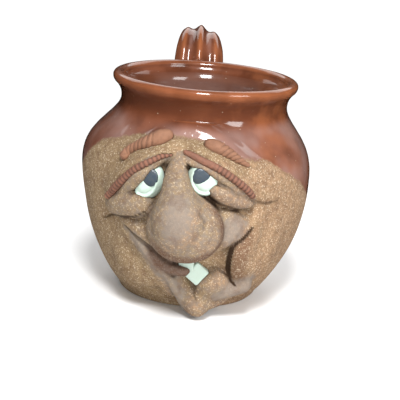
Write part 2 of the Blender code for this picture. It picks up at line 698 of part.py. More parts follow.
def main():
    for old in list(bpy.data.objects):
        bpy.data.objects.remove(old)
    parts = new_collection("ugly_mug")
    cutters = new_collection("cutters")

    body = build_pot(COLUMNS, OUTER_ROWS)
    thin = body.modifiers.new("fewer_faces", "DECIMATE")
    thin.ratio = KEPT_FACES
    add_boolean(body, helper(build_handle(22, 13), cutters), "UNION")

    pieces = {
        "left_eyeball": (egg("left_eyeball", LEFT_EYE, 18, 10, 0.16), "white"),
        "right_eyeball": (egg("right_eyeball", RIGHT_EYE, 18, 10, -0.16), "white"),
        "left_iris": (egg("left_iris", LEFT_IRIS, 12, 7), "black"),
        "right_iris": (egg("right_iris", RIGHT_IRIS, 12, 7), "black"),
        "tooth": (slab("tooth", TOOTH, 0.7), "white"),
        "side_tooth": (slab("side_tooth", SIDE_TOOTH, 0.6), "white"),
        "left_eyebrow": (rope("left_eyebrow", LEFT_EYEBROW, 2, 1), "orange"),
        "right_eyebrow": (rope("right_eyebrow", RIGHT_EYEBROW, 2, 1), "orange"),
        "left_lash_strip": (rope("left_lash_strip", LEFT_LASH, 3, 1), "red"),
        "right_lash_strip": (rope("right_lash_strip", RIGHT_LASH, 3, 1), "red"),
    }
    clays = {
        "white": clay_material("mint_white_clay", (0.62, 0.70, 0.60), 0.45),
        "black": clay_material("black_glazed_clay", (0.015, 0.018, 0.025), 0.12),
        "orange": clay_material("orange_clay", (0.32, 0.11, 0.05), 0.75),
        "red": clay_material("dull_red_clay", (0.25, 0.10, 0.07), 0.75),
    }
    seats = {}
    for name, (piece, tone) in pieces.items():
        piece.data.materials.clear()
        piece.data.materials.append(clays[tone])
        piece.data.shade_smooth()
        move_to(piece, parts)
        seats[name] = swollen(piece, cutters)
        add_boolean(body, seats[name], "DIFFERENCE")
    for over, under in (("left_iris", "left_eyeball"), ("right_iris", "right_eyeball"),
                        ("left_lash_strip", "left_eyeball"),
                        ("right_lash_strip", "right_eyeball"), ("tooth", "side_tooth")):
        add_boolean(pieces[under][0], seats[over], "DIFFERENCE")

    body.data.materials.append(clay_material("brown_stoneware", (0.22, 0.12, 0.07), 0.6))
    body.data.shade_smooth()
    move_to(body, parts)


main()
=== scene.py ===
"""The finished ugly mug: finely modelled clay, glazes and a plain studio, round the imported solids.

Metres, +Z up, the face along -Y. Left and right are as the viewer of the face sees them.
"""

import json
import math

import bmesh
import bpy
import numpy as np
from bpy.props import FloatProperty, FloatVectorProperty, PointerProperty
from bpy.types import Operator, Panel, PropertyGroup
from mathutils import Matrix, Vector, noise

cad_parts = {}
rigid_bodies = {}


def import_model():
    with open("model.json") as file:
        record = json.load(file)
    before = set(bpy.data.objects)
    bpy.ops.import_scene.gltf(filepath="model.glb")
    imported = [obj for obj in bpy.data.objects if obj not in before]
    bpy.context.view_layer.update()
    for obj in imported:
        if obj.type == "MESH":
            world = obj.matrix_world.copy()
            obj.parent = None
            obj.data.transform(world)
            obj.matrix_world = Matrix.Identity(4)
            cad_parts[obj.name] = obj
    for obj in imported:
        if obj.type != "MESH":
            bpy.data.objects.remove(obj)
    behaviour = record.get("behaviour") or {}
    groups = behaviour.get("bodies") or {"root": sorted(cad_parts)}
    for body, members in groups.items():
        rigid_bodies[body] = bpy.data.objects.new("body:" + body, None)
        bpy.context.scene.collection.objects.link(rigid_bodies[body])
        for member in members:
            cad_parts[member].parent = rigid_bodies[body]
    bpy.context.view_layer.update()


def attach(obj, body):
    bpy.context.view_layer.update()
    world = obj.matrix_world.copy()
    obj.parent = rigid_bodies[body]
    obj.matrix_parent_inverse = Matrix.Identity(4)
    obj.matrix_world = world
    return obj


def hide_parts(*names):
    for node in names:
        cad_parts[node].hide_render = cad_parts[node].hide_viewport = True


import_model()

bl_info = {
    "name": "Ugly Mug",
    "version": (1, 0, 0),
    "blender": (4, 5, 0),
    "location": "3D View > Sidebar > Ugly Mug",
    "description": "Models and glazes a stoneware mug with a comic face, with its studio",
    "category": "Object",
}

# The thrown pot, as the solids have it
HEIGHT = 0.1033
BASE_RADIUS = 0.0315
FOOT_ROUNDING = 0.0022
BELLY_RADIUS = 0.054
BELLY_HEIGHT = 0.056
NECK_RADIUS = 0.0388
NECK_DROP = 0.0118
RIM_RADIUS = 0.0430
LIP_THICKNESS = 0.0054
LIP_CREST = 0.40
RIM_SHIFT = 0.0017
WALL = 0.0055
FLOOR = 0.0070

# The pulled strap handle
HANDLE_WIDTH = 0.0245
HANDLE_THICKNESS = 0.0065
HANDLE_RIDGE = 0.0038
HANDLE_RISE = 0.0158
HANDLE_REACH = 0.0320
HANDLE_FOOT_HEIGHT = 0.0240
HANDLE_NARROWING = 0.78
HANDLE_SHIFT = -0.0024
HANDLE_LEAN = 5.0

CLEARANCE = 0.00012
TABLE_GAP = 0.0008

# The face's lengths are in face units, about a millimetre. Angles are degrees round the pot
# from straight ahead, plus to the right, and levels are shares of the face's height.
FACE_UNIT = BELLY_RADIUS / 54
FACE_HEIGHT = 0.9874 * HEIGHT
FACE_RISE = FACE_HEIGHT / 102

# The eyes: angle, level, lift, half sizes and tilt
LEFT_EYE = (-22.2, 0.627, -0.6, (7.4, 8.8, 5.4), -14)
RIGHT_EYE = (4.5, 0.659, -0.2, (7.3, 7.8, 5.2), 10)
LEFT_OPENING = (-20.3, 0.606, 6.0, (5.8, 8.8, 6.2), -18)
RIGHT_OPENING = (4.6, 0.645, 6.0, (7.2, 5.2, 6.2), -32)
LEFT_IRIS = (-19.7, 0.648, 3.9, (3.9, 4.2, 1.5), -14)
RIGHT_IRIS = (3.0, 0.675, 4.1, (4.1, 3.9, 1.5), 10)

# Lines pressed into the clay: stations of angle, level, lift and half width
CREASES = (
    ((-51, 0.394, 0.0, 0.3), (-41, 0.436, 0.4, 0.6), (-33, 0.448, 0.8, 0.8),
     (-26, 0.466, 1.8, 0.9), (-20.5, 0.500, 3.5, 0.7)),
    ((13, 0.552, 2.8, 0.5), (19.7, 0.534, 2.2, 0.8), (26, 0.540, 1.0, 0.5)),
    ((26, 0.578, 3.0, 0.5), (34, 0.553, 1.0, 0.7), (43, 0.552, 0.2, 0.4)),
    ((0.6, 0.566, 14.0, 0.3), (3.6, 0.535, 13.4, 0.7), (5.0, 0.502, 13.2, 0.8),
     (4.8, 0.463, 13.4, 0.7), (2.6, 0.422, 14.2, 0.3)),
    ((5.9, 0.190, 6.5, 0.3), (4.8, 0.160, 7.0, 0.6), (4.4, 0.129, 8.2, 0.6),
     (5.6, 0.097, 10.5, 0.3)),
    ((8.6, 0.168, 8.0, 0.3), (7.0, 0.140, 8.6, 0.5), (6.6, 0.112, 10.0, 0.3)),
    ((7.4, 0.192, 2.6, 0.3), (10.5, 0.220, 1.4, 0.5), (14.0, 0.238, 1.2, 0.6),
     (17.8, 0.243, 1.6, 0.4)),
)
# How dark the painted shade along each crease is
CREASE_SHADE_STRENGTHS = (0.62, 0.35, 0.50, 0.22, 0.50, 0.35, 0.45)

MOUTH_CREASE = ((-33.0, 0.410, 1.2, 0.4), (-29.0, 0.394, 2.4, 0.6), (-24.5, 0.372, 3.0, 0.8),
                (-20.5, 0.352, 2.6, 1.0), (-17.5, 0.336, 1.8, 1.0), (-14.6, 0.318, 1.6, 0.8))

# Rolls of other clay laid on the face: stations of angle, level, lift off the clay and radius
LEFT_EYEBROW = ((-16.2, 0.817, 0.2, 2.9), (-19.0, 0.806, 0.4, 3.6), (-24, 0.786, 0.6, 3.0),
                (-30, 0.760, 0.6, 2.3), (-34, 0.736, 0.8, 2.1), (-35.6, 0.712, 0.8, 2.3))
RIGHT_EYEBROW = ((6.6, 0.796, 0.2, 2.8), (9.5, 0.789, 0.4, 3.3), (15, 0.770, 0.4, 2.7),
                 (20, 0.745, 0.4, 1.8), (24.5, 0.722, 0.2, 1.0))
LEFT_LASH = ((-40.5, 0.528, 0.6, 1.6), (-34.7, 0.588, 0.5, 1.8), (-25.4, 0.680, 0.4, 1.7),
             (-17.1, 0.734, 0.2, 1.3), (-14.0, 0.743, 0.1, 0.9), (-11.6, 0.747, 0.1, 0.45))
RIGHT_LASH = ((-5.0, 0.766, 0.2, 1.1), (-0.1, 0.752, 0.4, 1.5), (10.7, 0.712, 0.5, 1.7),
              (20.9, 0.644, 0.6, 1.7), (25.6, 0.600, 0.6, 1.5))

# The teeth: angle, level, lift, half sizes and tilt
TOOTH = (4.9, 0.220, 1.6, (3.7, 4.2, 2.2), -39)
SIDE_TOOTH = (-0.9, 0.262, 0.6, (3.4, 2.8, 1.7), -6)

# How finely the pot is turned
COLUMNS = 158
OUTER_ROWS = 92
INNER_ROWS = 24
LIP_ROWS = 17
FRONT_CROWDING = 0.52
# The face is modelled this many degrees round from straight ahead
FACE_SPAN = 88
# A feature farther off than this is kept only as a bound of its distance
FAR_OFF = 0.009

# The glaze's edge round the pot: angle from straight ahead, and height in millimetres
GLAZE_EDGE = ((-180, 20), (-120, 34), (-95, 48), (-75, 62), (-60, 74.6), (-37.5, 80.6),
              (-18.5, 84.2), (4, 82.9), (22, 76.7), (36, 74.5), (50, 68.4), (71, 56.8),
              (81, 50.7), (105, 38), (135, 26), (180, 20))

# The glazed mark inside the pot, in metres: far above any height over the glaze's edge
INSIDE_MARK = 0.2

# The photograph's viewpoint: place in metres, angles in degrees, lens in millimetres
CAMERA_PLACE = (0, -0.543, 0.195)
CAMERA_PITCH = 15.7
CAMERA_LEAN = 4.4
CAMERA_LENS = 105.93
CAMERA_SHIFT = 0.01775


# Curves and the pot's profile

def smoothstep(low, high, value):
    t = np.clip((value - low) / (high - low), 0.0, 1.0)
    return t * t * (3 - 2 * t)


def spline(points, samples):
    """A smooth curve through the points, each a row of numbers, as rows of `samples` points."""
    points = np.asarray(points, float)
    before = 2 * points[0] - points[1]
    after = 2 * points[-1] - points[-2]
    knots = np.vstack([before, points, after])
    spans = len(points) - 1
    rows = []
    for u in np.linspace(0.0, spans, samples):
        i = min(int(u), spans - 1)
        t = u - i
        a, b, c, d = knots[i:i + 4]
        rows.append(0.5 * (2 * b + (c - a) * t + (2 * a - 5 * b + 4 * c - d) * t * t
                           + (3 * b - a - 3 * c + d) * t ** 3))
    return np.array(rows)


def neck_height():
    return HEIGHT - NECK_DROP


def outer_radius(z):
    """The pot's outer radius at each height, from the base to the neck."""
    z = np.asarray(z, float)
    below = np.clip(1 - z / BELLY_HEIGHT, 0.0, 1.0)
    lower = BELLY_RADIUS - (BELLY_RADIUS - BASE_RADIUS) * below ** 2.2
    climb = np.clip((z - BELLY_HEIGHT) / (neck_height() - BELLY_HEIGHT), 0.0, 1.0)
    swing = 0.5 * (1 + np.cos(np.pi * climb ** 1.6))
    shoulder = NECK_RADIUS + (BELLY_RADIUS - NECK_RADIUS) * swing
    return np.where(z < BELLY_HEIGHT, lower, shoulder)


def rim_shift(z):
    """How far the pot's axis has wandered to the right at each height."""
    return RIM_SHIFT * smoothstep(BELLY_HEIGHT + 0.3 * (neck_height() - BELLY_HEIGHT),
                                  neck_height(), z)


def flatter_side(points):
    """How much the pot's lower left is pushed in, as a share of its radius."""
    side = smoothstep(0.0, BELLY_RADIUS, -points[:, 0])
    height = points[:, 2] / BELLY_HEIGHT
    return 0.032 * side * smoothstep(0.05, 0.35, height) * smoothstep(1.15, 0.75, height)


def lip_point(angle):
    """A point round the lip's roll, which is widest a share of its thickness below the crest."""
    across, up = math.cos(math.radians(angle)), math.sin(math.radians(angle))
    rise = LIP_CREST if up > 0 else 1 - LIP_CREST
    return np.array([RIM_RADIUS - 0.5 * LIP_THICKNESS * (1 - across),
                     HEIGHT + LIP_THICKNESS * (rise * up - LIP_CREST)])


def lip_curve(samples):
    """From the neck's outside out under the flared lip, over it and down to its inner side."""
    roll = [lip_point(a) for a in np.linspace(-60, 195, samples)]
    flare = []
    for share in (0.15, 0.3, 0.45, 0.6, 0.75, 0.88):
        height = neck_height() + share * (roll[0][1] - neck_height())
        flare.append(np.array([NECK_RADIUS + share ** 2.4 * (roll[0][0] - NECK_RADIUS), height]))
    return flare + roll


def inner_curve(samples):
    """From the lip's inner side down the inner wall and across the floor to the axis."""
    heights = np.linspace(neck_height(), FLOOR + 1.1 * WALL, samples)
    step = 1e-4
    slope = (outer_radius(heights + step) - outer_radius(heights - step)) / (2 * step)
    lean = np.sqrt(1 + slope ** 2)
    radii = outer_radius(heights) - WALL * lean.clip(1.0, 1.25)
    top = lip_point(195)
    flare = [np.array([radii[0] + share ** 2.5 * (top[0] - radii[0]),
                       neck_height() + share * (top[1] - neck_height())])
             for share in (0.85, 0.7, 0.55, 0.4, 0.2)]
    wall = [np.array([r, z]) for r, z in zip(radii, heights)]
    corner = radii[-1]
    turn = spline([(corner, FLOOR + 1.1 * WALL), (corner - 0.8 * WALL, FLOOR + 0.25 * WALL),
                   (corner - 2.0 * WALL, FLOOR), (corner * 0.3, FLOOR), (0.0, FLOOR)], 15)
    return flare + wall + [p for p in turn[1:]]


# Places on the pot's front

def outward(angle):
    """The level direction out of the pot at an angle in degrees from straight ahead."""
    a = math.radians(angle)
    return np.array([math.sin(a), -math.cos(a), 0.0])


def spot(angle, level, lift=0.0):
    """A point over the wall: degrees to the right, share of the face's height, units out."""
    z = level * FACE_HEIGHT
    return (outward(angle) * (float(outer_radius(z)) + lift * FACE_UNIT)
            + np.array([0.0, 0.0, z]))


def on_clay(rows):
    """Points over the modelled clay, found by walking in: rows of angle, level and lift."""
    out = np.array([outward(angle) for angle, _, _ in rows])
    foot = np.array([(0.0, 0.0, level * FACE_HEIGHT) for _, level, _ in rows])
    reach = np.full((len(rows), 1), 1.6 * BELLY_RADIUS)
    gap = reach
    while gap.max() > 0.00001:
        gap = face_field(foot + out * reach)[:, None]
        reach = reach - 0.7 * np.minimum(gap, 0.01)
    return foot + out * (reach + rows[:, 2:3] * FACE_UNIT)


def local_axes(angle, tilt):
    """Rows along the wall to the right, up the wall and out of it, tilted in the wall."""
    out = outward(angle)
    right = np.array([-out[1], out[0], 0.0])
    up = np.array([0.0, 0.0, 1.0])
    c, s = math.cos(math.radians(tilt)), math.sin(math.radians(tilt))
    return np.array([right * c + up * s, up * c - right * s, out])


# Clay as distance fields: negative inside the clay, in metres

def join(a, b, blend):
    """Two lumps pressed together, with a fillet of about the blend, in face units."""
    blend = blend * FACE_UNIT
    share = np.clip(0.5 + 0.5 * (b - a) / blend, 0.0, 1.0)
    return b * (1 - share) + a * share - blend * share * (1 - share)


def carve(a, b, blend):
    """Lump a with lump b pressed out of it."""
    return -join(-a, b, blend)


def wall_field(p):
    rho = np.hypot(p[:, 0], p[:, 1])
    step = 1e-4
    slope = (outer_radius(p[:, 2] + step) - outer_radius(p[:, 2] - step)) / (2 * step)
    return (rho - outer_radius(p[:, 2])) / np.sqrt(1 + slope ** 2)


def lump(p, angle, level, lift, size, tilt=0.0):
    """An egg of clay: size is its half width, half height and half depth, in face units."""
    centre = spot(angle, level, lift)
    radii = np.array(size) * (FACE_UNIT, FACE_RISE, FACE_UNIT)
    field = np.linalg.norm(p - centre, axis=1) - radii.max()
    near = field < FAR_OFF
    local = (p[near] - centre) @ local_axes(angle, tilt).T
    reach = np.linalg.norm(local / radii, axis=1)
    slope = np.linalg.norm(local / radii ** 2, axis=1)
    field[near] = reach * (reach - 1) / np.maximum(slope, 1e-9)
    return field


def coil(p, stations, flatness=1.0):
    """A tapered roll of clay through stations of (angle, level, lift, radius)."""
    rows = spline(stations, 3 * (len(stations) - 1) + 1)
    line = np.array([spot(a, level, lift) for a, level, lift, _ in rows])
    middle = line.mean(axis=0)
    around = np.linalg.norm(line - middle, axis=1).max() + rows[:, 3].max() * FACE_UNIT
    field = np.linalg.norm(p - middle, axis=1) - around
    near = field < FAR_OFF
    q = p[near]
    best = np.full(len(q), 1.0)
    for i in range(len(rows) - 1):
        r0, r1 = rows[i, 3] * FACE_UNIT, rows[i + 1, 3] * FACE_UNIT
        along = line[i + 1] - line[i]
        out = outward(rows[i, 0])
        t = np.clip((q - line[i]) @ along / (along @ along), 0.0, 1.0)
        gap = q - line[i] - t[:, None] * along
        reach = (gap ** 2).sum(axis=1)
        if flatness != 1.0:
            reach = reach + (gap @ out) ** 2 * (1 / flatness ** 2 - 1)
        best = np.minimum(best, np.sqrt(reach) - (r0 + (r1 - r0) * t))
    field[near] = best
    return field


def hood_field(p):
    """The clay over the eyes: a tent with its peak left of the middle, running out to a tail."""
    edge = coil(p, [(-42, 0.545, 0.0, 2.6), (-35, 0.605, 1.6, 3.4), (-26, 0.690, 2.6, 3.8),
                    (-17, 0.745, 2.6, 3.6), (-9, 0.768, 1.8, 3.2), (0, 0.757, 2.6, 3.6),
                    (9, 0.725, 3.0, 3.8), (18, 0.665, 2.6, 3.6), (26, 0.612, 1.4, 3.2),
                    (34, 0.585, -0.2, 2.8), (43, 0.578, -2.4, 2.6)])
    slope = coil(p, [(-40, 0.600, -5.5, 5.0), (-24, 0.745, -3.5, 6.0), (-9, 0.810, -3.5, 6.0),
                     (9, 0.785, -3.0, 6.0), (26, 0.685, -3.5, 6.0), (40, 0.635, -6.0, 5.0)])
    return join(edge, slope, 6.0)


def nose_field(p):
    """A narrow bridge that hangs down into a bulb, with a ball pressed into its middle."""
    bridge = coil(p, [(-8.6, 0.715, 0.0, 4.2), (-8.0, 0.66, 2.5, 5.4), (-6.6, 0.60, 5.5, 7.2),
                      (-5.2, 0.53, 9.0, 9.4)])
    bulb = lump(p, -2.5, 0.444, 3.6, (17.0, 15.4, 11.6), tilt=-4)
    ball = lump(p, -5.2, 0.474, 8.8, (11.2, 12.4, 10.6))
    return join(join(bulb, ball, 1.0), bridge, 5.0)


def jowl_field(p):
    """The two cheeks: the left swells to a smooth lip roll, the right rolls into the slit."""
    left = join(lump(p, -28, 0.26, -5.5, (15, 15, 9.0), tilt=-25),
                coil(p, [(-33, 0.385, -0.5, 1.8), (-25, 0.345, 1.4, 3.0),
                         (-18.5, 0.300, 2.2, 3.6), (-14.6, 0.245, 2.0, 3.6),
                         (-11.6, 0.180, 1.8, 3.4), (-9.4, 0.120, 1.6, 3.2)]), 6.0)
    right = join(lump(p, 36, 0.35, -5.5, (14, 18, 10.0)),
                 coil(p, [(32, 0.505, -0.5, 2.4), (28.5, 0.435, 2.0, 3.6),
                          (25.4, 0.385, 3.0, 4.4), (24.6, 0.320, 3.2, 4.6),
                          (26.6, 0.255, 2.8, 4.2), (30, 0.20, 1.0, 3.4)]), 7.0)
    return np.minimum(left, right)


def lip_roll_field(p):
    """The smooth lower lip on the left, from the corner of the mouth down to the chin."""
    return coil(p, [(-31.0, 0.398, 0.2, 0.7), (-27.3, 0.384, 1.9, 1.5),
                    (-24.0, 0.355, 3.4, 1.9), (-20.6, 0.323, 4.5, 2.0),
                    (-17.2, 0.285, 4.8, 2.1), (-14.0, 0.243, 4.9, 2.1),
                    (-8.9, 0.195, 5.0, 2.2), (-5.6, 0.138, 5.6, 2.2), (-1.4, 0.086, 7.0, 2.4),
                    (3.0, 0.040, 9.0, 2.4)])


def upper_lip_field(p):
    """A flap from each cheek that ends over the mouth in an edge."""
    left = join(lump(p, -26, 0.43, -3.0, (11, 6.5, 5.5), tilt=-20),
                coil(p, [(-33, 0.430, -0.6, 1.8), (-26, 0.400, 1.6, 2.2),
                         (-19, 0.372, 2.8, 2.2), (-13, 0.332, 2.8, 1.9),
                         (-8, 0.290, 2.2, 1.7)]), 4.0)
    right = join(lump(p, 15, 0.455, -1.5, (10, 9.0, 5.2), tilt=25),
                 coil(p, [(24, 0.455, 0.5, 2.4), (19, 0.412, 1.8, 2.6),
                          (12, 0.362, 2.6, 2.4), (4, 0.315, 2.2, 2.2)]), 4.0)
    return np.minimum(left, right)


def lid_field(p):
    """The upper lids, that hang slantwise over the eyes from under the hood."""
    left = coil(p, [(-34, 0.556, 1.8, 2.4), (-28.2, 0.606, 3.6, 3.0), (-23.4, 0.662, 4.4, 3.3),
                    (-19.2, 0.711, 4.0, 2.9), (-15.5, 0.733, 2.6, 2.4)])
    right = coil(p, [(-8, 0.740, 2.6, 2.2), (0, 0.726, 4.2, 2.4), (8, 0.700, 4.6, 2.6),
                     (15, 0.660, 4.2, 2.6), (21, 0.616, 2.8, 2.4), (26, 0.588, 1.6, 2.0)])
    return np.minimum(left, right)


def pouch_field(p):
    """The bags under the eyes, one at the left and two at the right."""
    left = join(lump(p, -31, 0.514, 0.0, (10.0, 6.4, 6.2), tilt=20),
                join(lump(p, -23.6, 0.510, 1.6, (6.8, 4.6, 5.0), tilt=18),
                     lump(p, -39.5, 0.492, -1.0, (7.0, 5.2, 4.8), tilt=22), 3.0), 4.0)
    inner = lump(p, 13.4, 0.598, 0.6, (7.6, 4.4, 5.6), tilt=-26)
    outer = lump(p, 21.0, 0.568, 0.4, (7.4, 3.6, 5.2), tilt=-8)
    return np.minimum(left, join(inner, outer, 0.6))


def chin_field(p):
    """The chin's point, and the lower lip folded over it like a mitten with its thumb."""
    chin = coil(p, [(-3, 0.150, -0.5, 4.6), (0.5, 0.105, 2.6, 5.4), (4.6, 0.082, 7.0, 5.4),
                    (6.6, 0.060, 11.0, 4.0)])
    heel = coil(p, [(6.6, 0.060, 10.0, 4.0), (12, 0.078, 5.4, 4.8), (20, 0.082, 2.4, 4.4),
                    (28, 0.100, 0.0, 3.6)])
    thumb = coil(p, [(10, 0.128, 4.0, 4.8), (18, 0.130, 5.0, 4.2), (25, 0.150, 5.2, 4.2),
                     (30, 0.170, 5.0, 4.8)])
    lobe = lump(p, 14.2, 0.172, 3.0, (8.0, 6.6, 5.6), tilt=22)
    return join(join(chin, heel, 3.0), join(lobe, thumb, 0.8), 0.8)


def mouth_hollow_field(p):
    """What is pressed in for the mouth: the flat behind the tooth, and the left corner."""
    return np.minimum(lump(p, 8, 0.30, 5.2, (10.0, 9.0, 5.2), tilt=-10),
                      coil(p, [(-24, 0.362, 4.6, 1.2), (-18, 0.325, 4.6, 2.2),
                               (-13.5, 0.280, 4.6, 2.6), (-7, 0.215, 5.4, 2.2),
                               (-1, 0.150, 7.4, 1.6)]))


def crescent_field(p):
    """The lip's brown inner side, between its smooth roll and the teeth."""
    return coil(p, [(-19.2, 0.332, 2.8, 1.0), (-16.2, 0.302, 4.0, 1.9), (-13.0, 0.270, 4.6, 2.4),
                    (-8.8, 0.248, 4.6, 2.5), (-4.9, 0.238, 4.6, 2.4), (-0.8, 0.233, 4.2, 1.9)])


def slit_field(p):
    """The deep slit between the right cheek and the mouth."""
    return coil(p, [(27.5, 0.455, 2.6, 0.3), (23.2, 0.408, 3.0, 0.45), (20.3, 0.374, 2.8, 0.5),
                    (19.4, 0.335, 2.6, 0.6), (19.6, 0.283, 2.6, 0.6), (20.8, 0.235, 3.6, 0.5),
                    (22.8, 0.195, 5.6, 0.4), (24.6, 0.172, 7.0, 0.25)], flatness=8.0)


def face_field(p):
    """The whole front of the pot with its face."""
    clay = join(wall_field(p), jowl_field(p), 5.0)
    clay = carve(clay, mouth_hollow_field(p), 0.8)
    clay = join(clay, coil(p, [(-7.5, 0.215, 1.8, 2.4), (-1.5, 0.160, 2.0, 2.5),
                               (3.0, 0.110, 4.0, 3.0)]), 2.0)
    clay = join(clay, lip_roll_field(p), 0.9)
    clay = join(clay, crescent_field(p), 0.5)
    clay = join(clay, upper_lip_field(p), 0.8)
    clay = carve(clay, coil(p, MOUTH_CREASE, flatness=2.5), 0.4)
    clay = join(clay, hood_field(p), 5.0)
    clay = carve(clay, lump(p, *LEFT_OPENING), 0.8)
    clay = carve(clay, lump(p, *RIGHT_OPENING), 0.8)
    clay = join(clay, lid_field(p), 1.2)
    clay = join(clay, pouch_field(p), 0.8)
    clay = carve(clay, slit_field(p), 0.6)
    clay = join(clay, chin_field(p), 1.2)
    clay = join(clay, nose_field(p), 0.8)
    for crease in CREASES:
        clay = carve(clay, coil(p, crease, flatness=2.0), 0.5)
    return np.maximum(clay, TABLE_GAP - p[:, 2])


# Pressing the face onto the turned wall, which is an array of rows and columns of points

def turned_grid(profile, columns):
    """The rows of a profile of (radius, height) turned about the axis, crowded to the front."""
    turn = np.linspace(-math.pi, math.pi, columns, endpoint=False)
    turn = turn - FRONT_CROWDING * np.sin(turn)
    profile = np.array(profile)
    return np.stack([profile[:, :1] * np.sin(turn), -profile[:, :1] * np.cos(turn),
                     np.repeat(profile[:, 1:], columns, axis=1)], axis=2)


def field_slopes(p, field):
    step = 2e-5
    here = field(p)
    slopes = [(field(p + step * axis) - here) / step for axis in np.eye(3)]
    slopes = np.column_stack(slopes)
    return here, slopes / np.maximum(np.linalg.norm(slopes, axis=1, keepdims=True), 1e-9)


def walk_in(points):
    """From far outside, each point comes in towards the pot's middle until it meets clay."""
    middle = np.array([0.0, 0.0, FACE_HEIGHT / 2])
    rays = points - middle
    rays /= np.linalg.norm(rays, axis=1, keepdims=True)
    reach = np.full(len(points), 2 * BELLY_RADIUS)
    open_rays = np.arange(len(points))
    while len(open_rays):
        gap = face_field(middle + rays[open_rays] * reach[open_rays, None])
        reach[open_rays] -= 0.75 * np.minimum(gap, 0.01)
        open_rays = open_rays[gap > 0.00002]
    return middle + rays * reach[:, None]


def settle(grid, rounds, pull):
    """Evens the grid's spacing over the face, and drops each point back onto the clay."""
    flat = grid.reshape(-1, 3)
    turn = np.degrees(np.abs(np.arctan2(flat[:, 0], -flat[:, 1])))
    top, low = neck_height() - 0.003, 0.5 * FOOT_ROUNDING
    on_face = (turn < FACE_SPAN) & (flat[:, 2] > low) & (flat[:, 2] < top)
    on_face[:grid.shape[1]] = on_face[-grid.shape[1]:] = False
    ease = (smoothstep(FACE_SPAN, FACE_SPAN - 18, turn) * smoothstep(top, top - 0.012, flat[:, 2])
            * smoothstep(low, low + 0.006, flat[:, 2]))[on_face, None]
    for _ in range(rounds):
        here, normal = field_slopes(flat[on_face], face_field)
        shift = -normal * np.clip(here, -0.0005, 0.0005)[:, None]
        if pull:
            mean = np.zeros_like(grid)
            mean[1:-1] = (grid[2:] + grid[:-2] + np.roll(grid, 1, axis=1)[1:-1]
                          + np.roll(grid, -1, axis=1)[1:-1]) / 4
            way = (mean.reshape(-1, 3) - flat)[on_face]
            way -= normal * (way * normal).sum(axis=1, keepdims=True)
            shift += pull * ease * way
        flat[on_face] += shift
    return grid


def finer(grid):
    """Doubles the columns, which close on themselves, and the rows between the two ends."""
    rows, columns, _ = grid.shape
    wide = np.empty((rows, 2 * columns, 3))
    wide[:, ::2] = grid
    wide[:, 1::2] = 0.5 * (grid + np.roll(grid, -1, axis=1))
    tall = np.empty((2 * rows - 1, 2 * columns, 3))
    tall[::2] = wide
    tall[1::2] = 0.5 * (wide[:-1] + wide[1:])
    return tall


def pressed_wall(rounds):
    """The outer wall from the neck down to the foot's rounding, with the face modelled on it."""
    heights = np.linspace(neck_height(), FOOT_ROUNDING, OUTER_ROWS)
    grid = turned_grid([(float(outer_radius(z)), z) for z in heights], COLUMNS)
    flat = grid.reshape(-1, 3)
    turn = np.degrees(np.abs(np.arctan2(flat[:, 0], -flat[:, 1])))
    met = (turn < FACE_SPAN) & (flat[:, 2] < neck_height() - 0.003)
    met[-COLUMNS:] = False
    flat[met] = walk_in(flat[met])
    grid = settle(grid, rounds, 0.5)
    grid = finer(grid)
    # The wall behind the face is round again between the first columns
    flat = grid.reshape(-1, 3)
    behind = np.abs(np.arctan2(flat[:, 0], -flat[:, 1])) > math.radians(FACE_SPAN - 2)
    rho = np.hypot(flat[behind, 0], flat[behind, 1])
    flat[behind, :2] *= (outer_radius(flat[behind, 2]) / rho)[:, None]
    return settle(grid, 3, 0.3)


def closed_shell(rings):
    """Vertices and faces of rings of points, from a point on the axis to another one."""
    count = rings.shape[1]
    points = [rings[0, :1] * (0, 0, 1), rings[1:-1].reshape(-1, 3), rings[-1, :1] * (0, 0, 1)]
    points = np.vstack(points)
    faces = []
    last = len(points) - 1
    rows = rings.shape[0] - 2
    for j in range(count):
        k = (j + 1) % count
        faces.append((0, 1 + j, 1 + k))
        faces.append((last, 1 + (rows - 1) * count + k, 1 + (rows - 1) * count + j))
    for i in range(rows - 1):
        start = 1 + i * count
        faces += [(start + j, start + count + j, start + count + (j + 1) % count,
                   start + (j + 1) % count) for j in range(count)]
    return points, faces


def wobble(points, size, depth, seed):
    """A smooth unevenness along each point's way out, in metres."""
    shift = Vector((seed * 7.3, seed * 3.1, seed * 5.7))
    return np.array([noise.noise(Vector(p) / size + shift) for p in points.tolist()]) * depth


# Building and joining objects

def mesh_object(name, points, faces):
    mesh = bpy.data.meshes.new(name)
    mesh.from_pydata([tuple(p) for p in points], [], faces)
    mesh.validate()
    turned = bmesh.new()
    turned.from_mesh(mesh)
    bmesh.ops.recalc_face_normals(turned, faces=turned.faces)
    turned.to_mesh(mesh)
    turned.free()
    mesh.update()
    made = bpy.data.objects.new(name, mesh)
    bpy.context.scene.collection.objects.link(made)
    return made


def read_vectors(mesh, kind):
    """The vertices' places ("co") or their ways out ("normal")."""
    flat = np.empty(len(mesh.vertices) * 3, np.float32)
    mesh.vertices.foreach_get(kind, flat)
    return flat.reshape(-1, 3).astype(float)


def write_points(mesh, points):
    mesh.vertices.foreach_set("co", np.asarray(points, np.float32).ravel())
    mesh.update()


def write_mark(mesh, name, values):
    """Keeps a value for each vertex, which the materials read by its name."""
    kept = mesh.attributes.new(name, "FLOAT", "POINT")
    kept.data.foreach_set("value", values.astype(np.float32))


def apply_modifiers(made):
    bpy.context.view_layer.update()
    graph = bpy.context.evaluated_depsgraph_get()
    mesh = bpy.data.meshes.new_from_object(made.evaluated_get(graph))
    old = made.data
    made.modifiers.clear()
    made.data = mesh
    bpy.data.meshes.remove(old)
    mesh.name = made.name
    return made


def boolean(target, others, operation):
    for other in others:
        cut = target.modifiers.new(other.name, "BOOLEAN")
        cut.operation = operation
        cut.solver = "MANIFOLD"
        cut.object = other
    apply_modifiers(target)
    for other in others:
        bpy.data.objects.remove(other)
    return target


